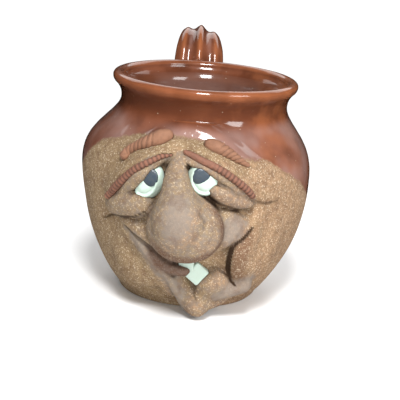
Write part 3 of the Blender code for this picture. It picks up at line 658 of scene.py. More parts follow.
def swollen(piece):
    """A copy of a piece, larger by the clearance all round."""
    cutter = bpy.data.objects.new(piece.name + "_seat", piece.data.copy())
    bpy.context.scene.collection.objects.link(cutter)
    write_points(cutter.data, read_vectors(piece.data, "co")
                 + CLEARANCE * read_vectors(piece.data, "normal"))
    return cutter


def finish_piece(made, node, material):
    """Shades a piece, gives it its clay, and lets it stand for its solid."""
    made.data.materials.clear()
    made.data.materials.append(material)
    made.data.shade_smooth()
    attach(made, "root")
    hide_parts(node)
    return made


def placed(name, points, faces, place):
    """A mesh of half size one, at its half sizes, tilt and place on the face."""
    angle, level, lift, size, tilt = place
    radii = np.array(size) * (FACE_UNIT, FACE_RISE, FACE_UNIT)
    axes = local_axes(angle, tilt) * radii[:, None]
    return mesh_object(name, np.asarray(points) @ axes + spot(angle, level, lift), faces)


def sweep(sections):
    """Points and faces of closed rings of points, with both ends filled."""
    count = len(sections[0])
    points = np.vstack(sections)
    faces = []
    for i in range(len(sections) - 1):
        a = i * count
        faces += [(a + j, a + (j + 1) % count, a + count + (j + 1) % count, a + count + j)
                  for j in range(count)]
    faces.append(tuple(range(count))[::-1])
    faces.append(tuple(range(len(points) - count, len(points))))
    return points, faces


# The body

def handle_path():
    """Stations of the strap's middle line: far from the axis, height and share of its width."""
    foot = HANDLE_FOOT_HEIGHT
    crest = HEIGHT + HANDLE_RISE - HANDLE_RIDGE - HANDLE_THICKNESS / 2
    outermost = BELLY_RADIUS + HANDLE_REACH - HANDLE_THICKNESS / 2
    arch = ((-0.01, 0.784, 0.9), (0.063, 0.829, 1.0), (0.12, 0.886, 1.0), (0.21, 0.948, 0.8),
            (0.37, 0.993, 0.4), (0.545, 1.0, 0.1), (0.73, 0.948, 0.0), (0.895, 0.84, 0.0),
            (0.99, 0.688, 0.1), (0.98, 0.52, 0.2), (0.87, 0.327, 0.3), (0.657, 0.17, 0.5),
            (0.38, 0.062, 0.7))
    start = (NECK_RADIUS - 0.2 * WALL, neck_height() - 0.0010, 0.8)
    stop = (float(outer_radius(foot)) - 0.45 * WALL, foot, 0.9)
    middle = [(RIM_RADIUS + out * (outermost - RIM_RADIUS), foot + up * (crest - foot),
               HANDLE_NARROWING + full * (1 - HANDLE_NARROWING)) for out, up, full in arch]
    return [start] + middle + [stop]


def strap_section(across):
    """The strap's outline: a flat inner side, and three ridges along the outer side."""
    half = HANDLE_WIDTH / 2
    outer = []
    for u in np.linspace(-1, 1, across):
        crown = HANDLE_RIDGE * math.exp(-(u / 0.26) ** 2)
        side = 0.42 * HANDLE_RIDGE * math.exp(-((abs(u) - 0.70) / 0.20) ** 2)
        edge = math.sqrt(max(0.0, 1 - abs(u) ** 4))
        outer.append((u * half, (HANDLE_THICKNESS / 2 + side) * edge + crown))
    inner = [(u * half, -HANDLE_THICKNESS / 2 * math.sqrt(1 - abs(u) ** 6))
             for u in np.linspace(0.97, -0.97, across // 2)]
    return np.array(outer + inner)


def build_handle(along, across):
    rows = spline(handle_path(), along)
    section = strap_section(across)
    ways = np.gradient(rows[:, :2], axis=0)
    ways /= np.linalg.norm(ways, axis=1, keepdims=True)
    sections = []
    for (out, up, share), (run_out, run_up) in zip(rows, ways):
        wall = abs(out - float(outer_radius(min(up, neck_height()))))
        flare = 1 + 0.22 * math.exp(-(wall / 0.0035) ** 2)
        lean = math.radians(HANDLE_LEAN) * smoothstep(HEIGHT, HEIGHT + 0.008, up)
        x = HANDLE_SHIFT + section[:, 0] * share * flare
        lift = section[:, 1] * share * flare - lean * section[:, 0]
        sections.append(np.column_stack([x, out - run_up * lift, up + run_out * lift]))
    points, faces = sweep(sections)
    return mesh_object("handle", points, faces)


def unshifted(points):
    """The points as they were before the rim's wander and the flatter side."""
    back = points.copy()
    back[:, 0] -= rim_shift(points[:, 2])
    back[:, 0] /= 1 - flatter_side(back)
    return back


def paint_attributes(mesh):
    """Marks painted shade in the clay's hollows and creases, its smoothed and reddish brown places,
    and how far the glaze comes.
    """
    points = unshifted(read_vectors(mesh, "co"))
    normals = read_vectors(mesh, "normal")
    turn = np.degrees(np.arctan2(points[:, 0], -points[:, 1]))
    rho = np.hypot(points[:, 0], points[:, 1])
    facing = (np.abs(turn) < FACE_SPAN) & (rho > outer_radius(points[:, 2]) - 0.003)
    facing &= (points[:, 2] > 0.0015) & (points[:, 2] < neck_height())
    front = points[facing]
    painted_shade_and_specks = np.zeros(len(points))
    # Painted shade: the less open space there is round a point, the darker its colour
    for reach, weight in ((0.0012, 0.45), (0.0028, 0.35), (0.0055, 0.20)):
        free = face_field(front + normals[facing] * reach) / reach
        painted_shade_and_specks[facing] += weight * np.clip(1 - free, 0.0, 1.0)
    # Less painted shade on the flat right of the tooth and on a patch below it, so these stay light
    unshaded_mouth_patches = np.minimum(lump(front, 9.5, 0.30, 2.0, (5.5, 6.0, 5.0)),
                            lump(front, 0.0, 0.17, 4.0, (4.0, 7.0, 5.0), tilt=20))
    painted_shade_and_specks[facing] *= smoothstep(-0.0020, 0.0015, unshaded_mouth_patches)
    # Painted shade as dark lines along the pressed creases, the mouth's crease and the slit
    lines = [coil(front, line, flatness=6.0) for line in (MOUTH_CREASE, *CREASES)]
    for line, strength in zip((*lines, slit_field(front)), (0.55, *CREASE_SHADE_STRENGTHS, 1.0)):
        crease_shade = strength * smoothstep(0.0007, -0.0002, line)
        painted_shade_and_specks[facing] = np.maximum(painted_shade_and_specks[facing], crease_shade)
    fingered, browned = np.zeros(len(points)), np.zeros(len(points))
    smooth_places = np.min((
        lump(front, -5.0, 0.515, 15.5, (6.0, 10.0, 6.0), tilt=-6),
        lump(front, 17.5, 0.44, 2.0, (7.0, 5.5, 5.0), tilt=30),
        lip_roll_field(front) - 0.0002,
        crescent_field(front) - 0.0004,
        coil(front, [(16, 0.125, 8.0, 2.6), (25, 0.150, 9.0, 3.2), (31, 0.175, 8.0, 4.2)]),
    ), axis=0)
    fingered[facing] = smoothstep(0.0045, -0.0018, smooth_places)
    for place, strength in ((nose_field(front), 0.52), (pouch_field(front), 0.45),
                            (lid_field(front), 0.50), (upper_lip_field(front), 0.30),
                            (chin_field(front), 0.40)):
        fingered[facing] = np.maximum(fingered[facing], strength * smoothstep(0.0018, 0.0, place))
    nose_rim = coil(front, [(-14.0, 0.50, 6.0, 1.2), (-14.5, 0.43, 8.0, 1.5),
                            (-13.0, 0.385, 10.0, 1.8),
                            (-9.0, 0.340, 12.0, 2.4), (-3.0, 0.315, 12.5, 2.8),
                            (2.5, 0.320, 12.0, 2.8), (8.0, 0.352, 9.5, 2.4),
                            (12.0, 0.395, 8.0, 2.2), (12.8, 0.46, 7.5, 2.0),
                            (10.0, 0.530, 6.5, 1.6)])
    cheek_roll = coil(front, [(26.0, 0.420, 6.0, 1.2), (23.4, 0.350, 7.0, 2.2),
                              (23.2, 0.290, 7.0, 2.6), (24.6, 0.235, 6.0, 1.8)])
    beside_nose = coil(front, [(-15.0, 0.60, 3.0, 0.8), (-17.5, 0.52, 6.0, 1.2),
                               (-17.5, 0.44, 6.0, 1.2)])
    # Reddish brown along the lip's inner side, the nose's lower rim, the roll beside the slit and the
    # nose's left side
    for place, strength in ((crescent_field(front), 1.0), (nose_rim, 0.90), (cheek_roll, 0.75),
                            (beside_nose, 0.50)):
        brown_share = strength * smoothstep(0.0028, -0.0008, place)
        browned[facing] = np.maximum(browned[facing], brown_share)
    edge = np.interp(turn, *zip(*GLAZE_EDGE)) / 1000
    over = points[:, 2] - edge
    outside = rho > outer_radius(points[:, 2]) - 0.6 * WALL
    over = np.where(outside, over, INSIDE_MARK)
    over = np.where((points[:, 1] > 0) & (rho > outer_radius(points[:, 2]) + 0.002),
                    points[:, 2] - 0.016, over)
    for name, values in (("painted_shade_and_specks", painted_shade_and_specks), ("fingered", fingered), ("browned", browned),
                         ("glazed", over * 1000)):
        write_mark(mesh, name, values)


def build_body(sizes, cutters):
    inside = turned_grid(inner_curve(INNER_ROWS)[::-1], 2 * COLUMNS)
    lip = turned_grid(lip_curve(LIP_ROWS)[::-1], 2 * COLUMNS)
    wall = pressed_wall(8)
    corner = float(outer_radius(FOOT_ROUNDING))
    foot = [(corner - FOOT_ROUNDING * (1 - math.cos(a)), FOOT_ROUNDING * (1 - math.sin(a)))
            for a in np.radians((30, 60, 90))]
    foot += [(0.6 * foot[-1][0], 0.0), (0.25 * foot[-1][0], 0.0), (0.0, 0.0)]
    under = turned_grid(foot, 2 * COLUMNS)
    rings = np.vstack([inside, lip, wall, under])
    points, faces = closed_shell(rings)

    # Rings left by the thrower's fingers, inside and round the neck, and an uneven hand
    rho = np.hypot(points[:, 0], points[:, 1])
    out = points * (1, 1, 0) / np.maximum(rho, 1e-6)[:, None]
    turn = np.arctan2(points[:, 0], -points[:, 1])
    ring = np.sin(2 * math.pi * points[:, 2] / sizes.throwing_ring_pitch + 0.35 * np.sin(turn))
    within = smoothstep(0.0, 0.002, outer_radius(points[:, 2]) - rho - 0.6 * WALL)
    behind = smoothstep(80, 110, np.degrees(np.abs(turn)))
    band = np.maximum(within * smoothstep(0.012, 0.02, points[:, 2]),
                      behind * smoothstep(0.01, 0.02, points[:, 2]) * 0.6)
    points += out * (ring * band * sizes.throwing_ring_depth)[:, None]
    uneven = smoothstep(0.001, 0.006, points[:, 2])
    points += out * (uneven * wobble(points, 0.021, sizes.unevenness, 1))[:, None]
    points[:, 0] *= 1 - flatter_side(points)
    points[:, 0] += rim_shift(points[:, 2])
    body = mesh_object("carved_mug", points, faces)
    boolean(body, [build_handle(90, 33)], "UNION")
    boolean(body, cutters, "DIFFERENCE")
    paint_attributes(body.data)
    return body


# The pieces of other clay

def build_egg(name, place, band, segments=72, rings=40):
    """A flattened ball, with a rolled edge on its nose side and below if it has a band."""
    made = []
    for v in np.linspace(0, math.pi, rings)[1:-1]:
        ring = np.linspace(0, 2 * math.pi, segments, endpoint=False)
        made.append(np.column_stack([math.sin(v) * np.cos(ring), math.sin(v) * np.sin(ring),
                                     np.full(segments, math.cos(v))]))
    rows = np.array(made)
    ends = np.zeros((2, 1, 3))
    ends[0, 0, 2], ends[1, 0, 2] = 1.0, -1.0
    rows = np.concatenate([np.repeat(ends[:1], segments, axis=1), rows,
                           np.repeat(ends[1:], segments, axis=1)])
    points, faces = closed_shell(rows)
    reach = np.hypot(points[:, 0], points[:, 1])
    side = np.sign(band) * points[:, 0] / reach.clip(1e-6) - 0.7 * points[:, 1]
    roll = abs(band) * np.exp(-((reach - 0.80) / 0.11) ** 2) * smoothstep(-0.3, 0.4, side)
    inner = np.exp(-((reach - 0.62) / 0.05) ** 2) * smoothstep(-0.3, 0.4, side)
    inner = np.where(points[:, 2] > 0, inner, 0.0)
    points[:, 2] += np.where(points[:, 2] > 0, roll, 0.0) - 0.4 * abs(band) * inner
    made = placed(name, points, faces, place)
    # The groove mark paints shade along the hollow inside the rolled edge
    write_mark(made.data, "groove", np.sign(abs(band)) * 0.7 * inner)
    return made


def build_slab(name, place, rounding):
    """A flat tooth with rounded edges."""
    corners = [(x, y, z) for x in (-1, 1) for y in (-1, 1) for z in (-1, 1)]
    faces = [(0, 1, 3, 2), (4, 6, 7, 5), (0, 4, 5, 1), (2, 3, 7, 6), (0, 2, 6, 4), (1, 5, 7, 3)]
    made = placed(name, corners, faces, place)
    bevel = made.modifiers.new("edges", "BEVEL")
    bevel.width = rounding * FACE_UNIT
    bevel.segments = 5
    apply_modifiers(made)
    return made


def frames_along(line):
    """For points along the clay: the way on, the way out of the pot, and the way across."""
    way = np.gradient(line, axis=0)
    way /= np.linalg.norm(way, axis=1, keepdims=True)
    out = line * (1, 1, 0)
    out /= np.linalg.norm(out, axis=1, keepdims=True)
    out -= way * (out * way).sum(axis=1, keepdims=True)
    out /= np.linalg.norm(out, axis=1, keepdims=True)
    return way, out, np.cross(way, out)


def rope_line(stations, pitch):
    """Points and radii along a roll of clay laid on the face, with rounded ends."""
    coarse = spline(stations, 4 * (len(stations) - 1) + 1)
    laid = on_clay(coarse[:, :3])
    rows = np.column_stack([laid, coarse[:, 3] * FACE_UNIT])
    length = np.linalg.norm(np.diff(laid, axis=0), axis=1).sum()
    rows = spline(rows, int(length / pitch))
    ends = []
    for tip, inside in ((rows[0], rows[2]), (rows[-1], rows[-3])):
        way = (tip[:3] - inside[:3]) / np.linalg.norm(tip[:3] - inside[:3])
        cap = [np.append(tip[:3] + way * tip[3] * math.sin(a), tip[3] * math.cos(a))
               for a in np.radians((18, 36, 52, 66, 78, 86))]
        ends.append(cap)
    return np.array(ends[0][::-1] + list(rows) + ends[1])


def build_rope(name, stations, shape, around=30):
    """A roll of clay whose radius a shape function gives for each distance and angle."""
    rows = rope_line(stations, 0.0003)
    line = rows[:, :3]
    _, out, across = frames_along(line)
    far = np.concatenate([[0.0], np.linalg.norm(np.diff(line, axis=0), axis=1).cumsum()])
    ring = np.linspace(0, 2 * math.pi, around, endpoint=False)
    sections, depths = [], []
    for i in range(len(rows)):
        share = shape(far[i], ring, far[-1]) * np.ones(around)
        radius = rows[i, 3] * share
        depths.append(np.clip((1 - share) / 0.20, 0.0, 1.0))
        sections.append(line[i] + out[i] * (radius * np.sin(ring))[:, None]
                        + across[i] * (radius * np.cos(ring))[:, None])
    points, faces = sweep(sections)
    made = mesh_object(name, points, faces)
    # How deep each point lies in a groove, which paints shade there
    write_mark(made.data, "groove", np.concatenate(depths))
    return made


# Materials

def node(tree, kind, inputs=None, **settings):
    """Adds a shader node: its inputs are constants or the sockets that feed them."""
    made = tree.nodes.new("ShaderNode" + kind)
    for key, value in settings.items():
        setattr(made, key, value)
    for key, value in (inputs or {}).items():
        if isinstance(value, bpy.types.NodeSocket):
            tree.links.new(value, made.inputs[key])
        else:
            made.inputs[key].default_value = value
    return made


def maths(tree, operation, a, b=0.0):
    return node(tree, "Math", {0: a, 1: b}, operation=operation).outputs[0]


def ramp(tree, value, low, high, start=0.0, stop=1.0):
    made = node(tree, "MapRange", {"Value": value, "From Min": low, "From Max": high,
                                   "To Min": start, "To Max": stop},
                interpolation_type="SMOOTHSTEP")
    return made.outputs["Result"]


def mix(tree, share, a, b, blend="MIX"):
    a, b = [(*c, 1.0) if isinstance(c, (tuple, list)) and len(c) == 3 else c for c in (a, b)]
    return node(tree, "Mix", {0: share, 6: a, 7: b}, data_type="RGBA",
                blend_type=blend).outputs[2]


def cloudy(tree, place, scale, detail=3.0):
    return node(tree, "TexNoise", {"Vector": place, "Scale": scale,
                                   "Detail": detail}).outputs["Fac"]


def grains(tree, place, scale, reach, kept):
    """Round grains: a cell's share of grains is kept, each of its own size."""
    cells = node(tree, "TexVoronoi", {"Vector": place, "Scale": scale})
    lot = node(tree, "SeparateColor", {0: cells.outputs["Color"]})
    size = maths(tree, "MULTIPLY", ramp(tree, lot.outputs[0], 1 - kept, 1.0, 0.35, 1.0), reach)
    there = maths(tree, "GREATER_THAN", lot.outputs[0], 1 - kept)
    near = maths(tree, "DIVIDE", cells.outputs["Distance"], size)
    return maths(tree, "MULTIPLY", ramp(tree, near, 1.0, 0.55), there)


def mark(tree, name):
    return node(tree, "Attribute", attribute_name=name).outputs["Fac"]


def millimetres(tree):
    place = node(tree, "TexCoord").outputs["Object"]
    return node(tree, "VectorMath", {0: place, "Scale": 1000.0},
                operation="SCALE").outputs[0]


def new_clay(name):
    made = bpy.data.materials.new(name)
    made.use_nodes = True
    return made, made.node_tree, made.node_tree.nodes["Principled BSDF"]


def bump(tree, shader, height, strength):
    """Height is in millimetres."""
    made = node(tree, "Bump", {"Height": height, "Distance": 0.001, "Strength": strength})
    tree.links.new(made.outputs["Normal"], shader.inputs["Normal"])


def set_inputs(tree, shader, **values):
    for name, value in values.items():
        socket = shader.inputs[name.replace("_", " ")]
        if isinstance(value, bpy.types.NodeSocket):
            tree.links.new(value, socket)
        else:
            socket.default_value = value


def stoneware(colours):
    """Bare speckled clay where the face is, and a glossy iron glaze above its edge."""
    made, tree, shader = new_clay("speckled_stoneware_with_iron_glaze")
    place = millimetres(tree)
    broad, fine = cloudy(tree, place, 0.09), cloudy(tree, place, 0.6, 6.0)
    grit = cloudy(tree, place, 2.4, 3.0)
    sides = node(tree, "SeparateXYZ", {0: place})
    edges = node(tree, "NewGeometry").outputs["Pointiness"]
    painted_shade_and_specks, fingered, browned = (mark(tree, name) for name in ("painted_shade_and_specks", "fingered", "browned"))

    # Bare clay: olive tan on the left, orange brown on the right, with painted shade where it is
    # hollow
    lean = maths(tree, "ADD", sides.outputs["X"], ramp(tree, broad, 0.3, 0.7, -22.0, 22.0))
    bare = mix(tree, ramp(tree, lean, -14.0, 26.0), tuple(colours.clay_left),
               tuple(colours.clay_right))
    bare = mix(tree, ramp(tree, fine, 0.35, 0.65, 0.0, 0.55), bare, tuple(colours.clay_dark))
    smoothed = ramp(tree, maths(tree, "ADD", fingered, ramp(tree, fine, 0.3, 0.7, -0.25, 0.25)),
                    0.05, 1.0)
    bare = mix(tree, maths(tree, "MULTIPLY", smoothed, 0.75), bare, tuple(colours.fine_clay))
    blotches = ramp(tree, cloudy(tree, place, 0.24, 3.0), 0.45, 0.70, 0.0, 0.34)
    bare = mix(tree, blotches, bare, tuple(colours.iron_wash))
    # Reddish brown on the marked places along the nose, the lip and the slit
    brown_places = maths(tree, "MULTIPLY", browned, ramp(tree, fine, 0.3, 0.65, 0.90, 0.60))
    bare = mix(tree, brown_places, bare, tuple(colours.iron_wash))
    flecks = ramp(tree, cloudy(tree, place, 1.5, 2.0), 0.54, 0.66, 0.0, 0.75)
    grain = maths(tree, "MAXIMUM", grains(tree, place, 1.0, 0.34, 0.62), flecks)
    grain = maths(tree, "MULTIPLY", grain, ramp(tree, cloudy(tree, place, 0.45), 0.35, 0.6, 0.4, 1.0))
    few = ramp(tree, smoothed, 0.0, 0.9, 0.70, 0.12)
    bare = mix(tree, maths(tree, "MULTIPLY", grain, few), bare, tuple(colours.grains))
    # Dark specks, in the same dark brown as the painted shade
    specks = grains(tree, place, 1.1, 0.30, 0.30)
    bare = mix(tree, maths(tree, "MULTIPLY", specks, ramp(tree, smoothed, 0.0, 0.8, 0.55, 0.15)),
               bare, tuple(colours.painted_shade_and_specks))
    # Painted shade in the hollows and creases, nearly black at the deepest
    shade = ramp(tree, painted_shade_and_specks, 0.15, 0.80, 0.0, 0.96)
    bare = mix(tree, shade, bare, tuple(colours.painted_shade_and_specks))

    # Glaze: rust brown, darker under the lip, orange where it runs thin, with a greyish painted sheen
    glaze = mix(tree, ramp(tree, cloudy(tree, place, 0.07, 3.0), 0.35, 0.68),
                tuple(colours.glaze), tuple(colours.glaze_dark))
    # Darker on the neck, under the lip
    darker_under_lip = maths(tree, "MULTIPLY", ramp(tree, sides.outputs["Z"], 85.0, 92.0, 0.0, 0.90),
                   ramp(tree, sides.outputs["Z"], 100.0, 96.5))
    glaze = mix(tree, darker_under_lip, glaze, tuple(colours.glaze_dark))
    thin = ramp(tree, edges, 0.502, 0.55, 0.0, 0.7)
    glaze = mix(tree, thin, glaze, tuple(colours.glaze_thin))
    glaze = mix(tree, ramp(tree, lean, 10.0, 60.0, 0.0, 0.4), glaze, tuple(colours.glaze_thin))
    # Painted sheen: a greyish reflection painted on the shoulder's front and inside the pot
    shoulder = maths(tree, "MULTIPLY", ramp(tree, sides.outputs["Z"], 89.0, 84.0),
                     ramp(tree, sides.outputs["Y"], 0.0, 30.0, 1.0, 0.35))
    inside = maths(tree, "MULTIPLY", ramp(tree, sides.outputs["Z"], 101.0, 86.0),
                   ramp(tree, mark(tree, "glazed"), 750.0 * INSIDE_MARK, 900.0 * INSIDE_MARK))
    sheen_places = maths(tree, "MAXIMUM", shoulder, inside)
    painted_sheen = maths(tree, "MULTIPLY", sheen_places,
                 ramp(tree, cloudy(tree, place, 0.05, 2.0), 0.35, 0.65, 0.10, 0.62))
    # Grey in the handle's grooves, in the same colour as the painted sheen
    strap = ramp(tree, sides.outputs["Y"], 44.0, 50.0)
    valley = maths(tree, "MULTIPLY", strap, ramp(tree, edges, 0.500, 0.47, 0.0, 0.6))
    glaze = mix(tree, maths(tree, "MAXIMUM", painted_sheen, valley), glaze, tuple(colours.glaze_sheen_grey))
    pinholes = grains(tree, place, 0.6, 0.16, 0.14)
    glaze = mix(tree, maths(tree, "MULTIPLY", pinholes, 0.5), glaze, tuple(colours.grains))

    ragged = maths(tree, "ADD", ramp(tree, cloudy(tree, place, 0.10, 2.0), 0.3, 0.7, -0.5, 0.5),
                   ramp(tree, fine, 0.3, 0.7, -0.3, 0.3))
    over = maths(tree, "ADD", mark(tree, "glazed"), ragged)
    bare = mix(tree, ramp(tree, over, -2.0, -0.2, 0.0, 0.20), bare, tuple(colours.iron_wash))
    covered = ramp(tree, over, -0.7, 0.7)
    colour = mix(tree, covered, bare, glaze)
    rough = node(tree, "Mix", {0: covered, 2: ramp(tree, grit, 0.3, 0.7, 0.74, 0.92),
                               3: ramp(tree, fine, 0.35, 0.7, 0.30, 0.42)}).outputs[0]
    bare_height = maths(tree, "ADD", maths(tree, "MULTIPLY", grain, 0.06),
                        ramp(tree, grit, 0.25, 0.75, -0.10, 0.10))
    glaze_height = ramp(tree, cloudy(tree, place, 0.22, 2.0), 0.3, 0.7, 0.12, 0.20)
    height = node(tree, "Mix", {0: covered, 2: bare_height, 3: glaze_height}).outputs[0]
    set_inputs(tree, shader, Base_Color=colour, Roughness=rough, Coat_Weight=covered)
    shader.inputs["Coat Roughness"].default_value = 0.09
    shader.inputs["Coat IOR"].default_value = 1.45
    shader.inputs["Specular IOR Level"].default_value = 0.08
    bump(tree, shader, height, 0.8)
    return made


def plain_clay(name, colour, dark, roughness, depth, fade):
    """An even clay with faint mottling and grit, with painted shade in its grooves."""
    made, tree, shader = new_clay(name)
    place = millimetres(tree)
    mottle, grit = cloudy(tree, place, 0.5, 5.0), cloudy(tree, place, 3.0, 3.0)
    tone = mix(tree, ramp(tree, mottle, 0.35, 0.7, 0.0, fade), tuple(colour), tuple(dark))
    specks = grains(tree, place, 1.4, 0.26, 0.25)
    tone = mix(tree, maths(tree, "MULTIPLY", specks, fade), tone, tuple(dark))
    # Painted shade: the groove marks darken the colour in the grooves
    tone = mix(tree, ramp(tree, mark(tree, "groove"), 0.2, 1.0, 0.0, 0.6), tone,
               tuple(0.4 * share for share in dark))
    low, high = roughness
    set_inputs(tree, shader, Base_Color=tone, Roughness=ramp(tree, grit, 0.3, 0.7, low, high))
    bump(tree, shader, ramp(tree, grit, 0.25, 0.75, -depth, depth), 0.8)
    return made


# The studio

def aimed(made, place, target):
    made.location = place
    made.rotation_mode = "QUATERNION"
    made.rotation_quaternion = (Vector(target) - Vector(place)).to_track_quat("-Z", "Y")
    return made


def soft_lamp(name, place, target, size, power):
    lamp = bpy.data.lights.new(name, "AREA")
    lamp.shape = "RECTANGLE"
    lamp.size, lamp.size_y = size
    lamp.energy = power
    made = bpy.data.objects.new(name, lamp)
    bpy.context.scene.collection.objects.link(made)
    return aimed(made, place, target)


def build_camera():
    """The photograph's viewpoint: a little above the rim, held with a slight lean."""
    eye = bpy.data.cameras.new("camera")
    eye.sensor_width = 36
    eye.lens = CAMERA_LENS
    eye.shift_x = CAMERA_SHIFT
    made = bpy.data.objects.new("camera", eye)
    bpy.context.scene.collection.objects.link(made)
    pitch = math.radians(CAMERA_PITCH)
    ahead = Vector((0, math.cos(pitch), -math.sin(pitch)))
    right = Vector((1, 0, 0))
    turn = Matrix((right, right.cross(ahead), -ahead)).transposed()
    turn = turn @ Matrix.Rotation(math.radians(CAMERA_LEAN), 3, "Z")
    made.matrix_world = Matrix.Translation(CAMERA_PLACE) @ turn.to_4x4()
    bpy.context.scene.camera = made
    return made


# The add-on

def size_property(title, about, default, most):
    return FloatProperty(name=title, description=about, default=default, min=0.0, max=most,
                         unit="LENGTH", subtype="DISTANCE", precision=5)


def colour_property(title, about, default):
    return FloatVectorProperty(name=title, description=about, default=default, size=3,
                               min=0.0, max=1.0, subtype="COLOR")


class MugSizes(PropertyGroup):
    throwing_ring_pitch: size_property("Throwing Ring Pitch", "Height of one throwing ring",
                                       0.0042, 0.02)
    throwing_ring_depth: size_property("Throwing Ring Depth", "Half the rings' depth",
                                       0.00010, 0.001)
    unevenness: size_property("Unevenness", "How far the hand-made wall wanders",
                              0.00030, 0.002)
    twist_pitch: size_property("Eyebrow Twist Pitch", "Length of one turn of the rope twist",
                               0.0066, 0.03)
    comb_pitch: size_property("Comb Mark Pitch", "Distance between marks across a lash strip",
                              0.0019, 0.01)


class MugColours(PropertyGroup):
    clay_left: colour_property("Clay, Left", "Olive tan bare clay", (0.245, 0.170, 0.096))
    clay_right: colour_property("Clay, Right", "Orange brown bare clay", (0.290, 0.184, 0.108))
    clay_dark: colour_property("Clay, Mottling", "Darker patches in the bare clay",
                               (0.145, 0.085, 0.045))
    fine_clay: colour_property("Fingered Clay", "Mauve grey skin where fingers smoothed it",
                               (0.205, 0.178, 0.155))
    grains: colour_property("Grains", "Cream grains in the clay", (0.60, 0.51, 0.38))
    # Dark brown of the painted shade in hollows and creases, and of the dark specks
    painted_shade_and_specks: colour_property("Hollows", "Dark brown in the creases", (0.026, 0.014, 0.008))
    iron_wash: colour_property("Iron Wash", "Reddish brown where the clay is stained",
                               (0.095, 0.043, 0.027))
    glaze: colour_property("Glaze", "Rust brown iron glaze", (0.158, 0.052, 0.026))
    glaze_dark: colour_property("Glaze, Thick", "Darker where the glaze pools",
                                (0.085, 0.025, 0.011))
    glaze_thin: colour_property("Glaze, Thin", "Orange where the glaze breaks over edges",
                                (0.29, 0.095, 0.035))
    # Greyish colour of the painted sheen on the shoulder and inside, and the grey of the handle's
    # grooves
    glaze_sheen_grey: colour_property("Glaze, Haze", "Greyish bloom in the glaze",
                                (0.25, 0.160, 0.140))
    white_clay: colour_property("White Clay", "Mint white of the eyes",
                                (0.49, 0.62, 0.54))
    tooth_clay: colour_property("Tooth Clay", "Mint white of the teeth", (0.43, 0.53, 0.46))
    white_shade: colour_property("White Clay, Mottling", "Greyer mottling in the white",
                                 (0.42, 0.47, 0.38))
    iris: colour_property("Irises", "Blue-black gloss of the irises", (0.058, 0.070, 0.080))
    orange_clay: colour_property("Eyebrows", "Orange clay of the eyebrows",
                                 (0.225, 0.107, 0.060))
    orange_shade: colour_property("Eyebrows, Mottling", "Browner mottling in the eyebrows",
                                  (0.17, 0.078, 0.045))
    red_clay: colour_property("Lash Strips", "Dull red clay of the lash strips",
                              (0.200, 0.085, 0.052))
    red_shade: colour_property("Lash Strips, Mottling", "Browner mottling in the strips",
                               (0.13, 0.062, 0.040))


class MugStudio(PropertyGroup):
    floor_colour: colour_property("Floor", "Pale floor", (0.90, 0.90, 0.90))
    key_power: FloatProperty(name="Key Lamp", description="Power of the main lamp",
                             default=6.0, min=0.0, subtype="POWER")
    sky: FloatProperty(name="Sky", description="Strength of the light from all sides",
                       default=0.34, min=0.0, subtype="FACTOR", soft_max=2.0)


class MUG_OT_body(Operator):
    """Model the thrown pot with its face and handle in fine clay, and glaze it"""

    bl_idname = "mug.body"
    bl_label = "Mug Body"

    def execute(self, context):
        scene = context.scene
        cutters = [swollen(made) for made in scene.objects if made.get("inlaid")]
        body = build_body(scene.mug_sizes, cutters)
        finish_piece(body, "mug_body", stoneware(scene.mug_colours))
        return {"FINISHED"}


class MUG_OT_eyes(Operator):
    """Set the two white eyeballs and their glossy irises"""

    bl_idname = "mug.eyes"
    bl_label = "Eyes"

    def execute(self, context):
        colours = context.scene.mug_colours
        white = plain_clay("mint_white_clay", colours.white_clay, colours.white_shade,
                           (0.30, 0.46), 0.02, 0.30)
        black = plain_clay("black_gloss", colours.iris, (0.03, 0.05, 0.08),
                           (0.10, 0.18), 0.02, 0.5)
        for side, eye, iris, band in (("left", LEFT_EYE, LEFT_IRIS, 0.24),
                                      ("right", RIGHT_EYE, RIGHT_IRIS, -0.24)):
            ball = build_egg(side + "_eye", eye, band)
            dark = build_egg(side + "_eye_iris", iris, 0.0, 48, 28)
            ball["inlaid"] = dark["inlaid"] = True
            boolean(ball, [swollen(dark)], "DIFFERENCE")
            finish_piece(ball, side + "_eyeball", white)
            finish_piece(dark, side + "_iris", black)
        return {"FINISHED"}


class MUG_OT_teeth(Operator):
    """Set the square tooth and the one behind it"""

    bl_idname = "mug.teeth"
    bl_label = "Teeth"

    def execute(self, context):
        colours = context.scene.mug_colours
        white = plain_clay("tooth_white_clay", colours.tooth_clay, colours.white_shade,
                           (0.32, 0.48), 0.02, 0.22)
        front = build_slab("front_tooth", TOOTH, 0.9)
        back = build_slab("back_tooth", SIDE_TOOTH, 0.7)
        boolean(back, [swollen(front)], "DIFFERENCE")
        for made, solid in ((front, "tooth"), (back, "side_tooth")):
            made["inlaid"] = True
            finish_piece(made, solid, white)
        return {"FINISHED"}


class MUG_OT_eyebrows(Operator):
    """Lay the two eyebrows of rope-twisted orange clay"""

    bl_idname = "mug.eyebrows"
    bl_label = "Eyebrows"

    def execute(self, context):
        sizes, colours = context.scene.mug_sizes, context.scene.mug_colours
        orange = plain_clay("orange_brow_clay", colours.orange_clay, colours.orange_shade,
                            (0.66, 0.88), 0.06, 0.6)

        def twisted(far, ring, length):
            lobe = np.cos(1.5 * (ring - 2 * math.pi * far / sizes.twist_pitch) % math.pi)
            share = far / length
            fade = float(smoothstep(0.22, 0.42, share) * smoothstep(0.92, 0.82, share))
            return 1.0 - 0.20 * fade * (1 - np.abs(lobe)) ** 1.6

        for side, stations in (("left", LEFT_EYEBROW), ("right", RIGHT_EYEBROW)):
            made = build_rope(side + "_brow_rope", stations, twisted, 42)
            made["inlaid"] = True
            finish_piece(made, side + "_eyebrow", orange)
        return {"FINISHED"}


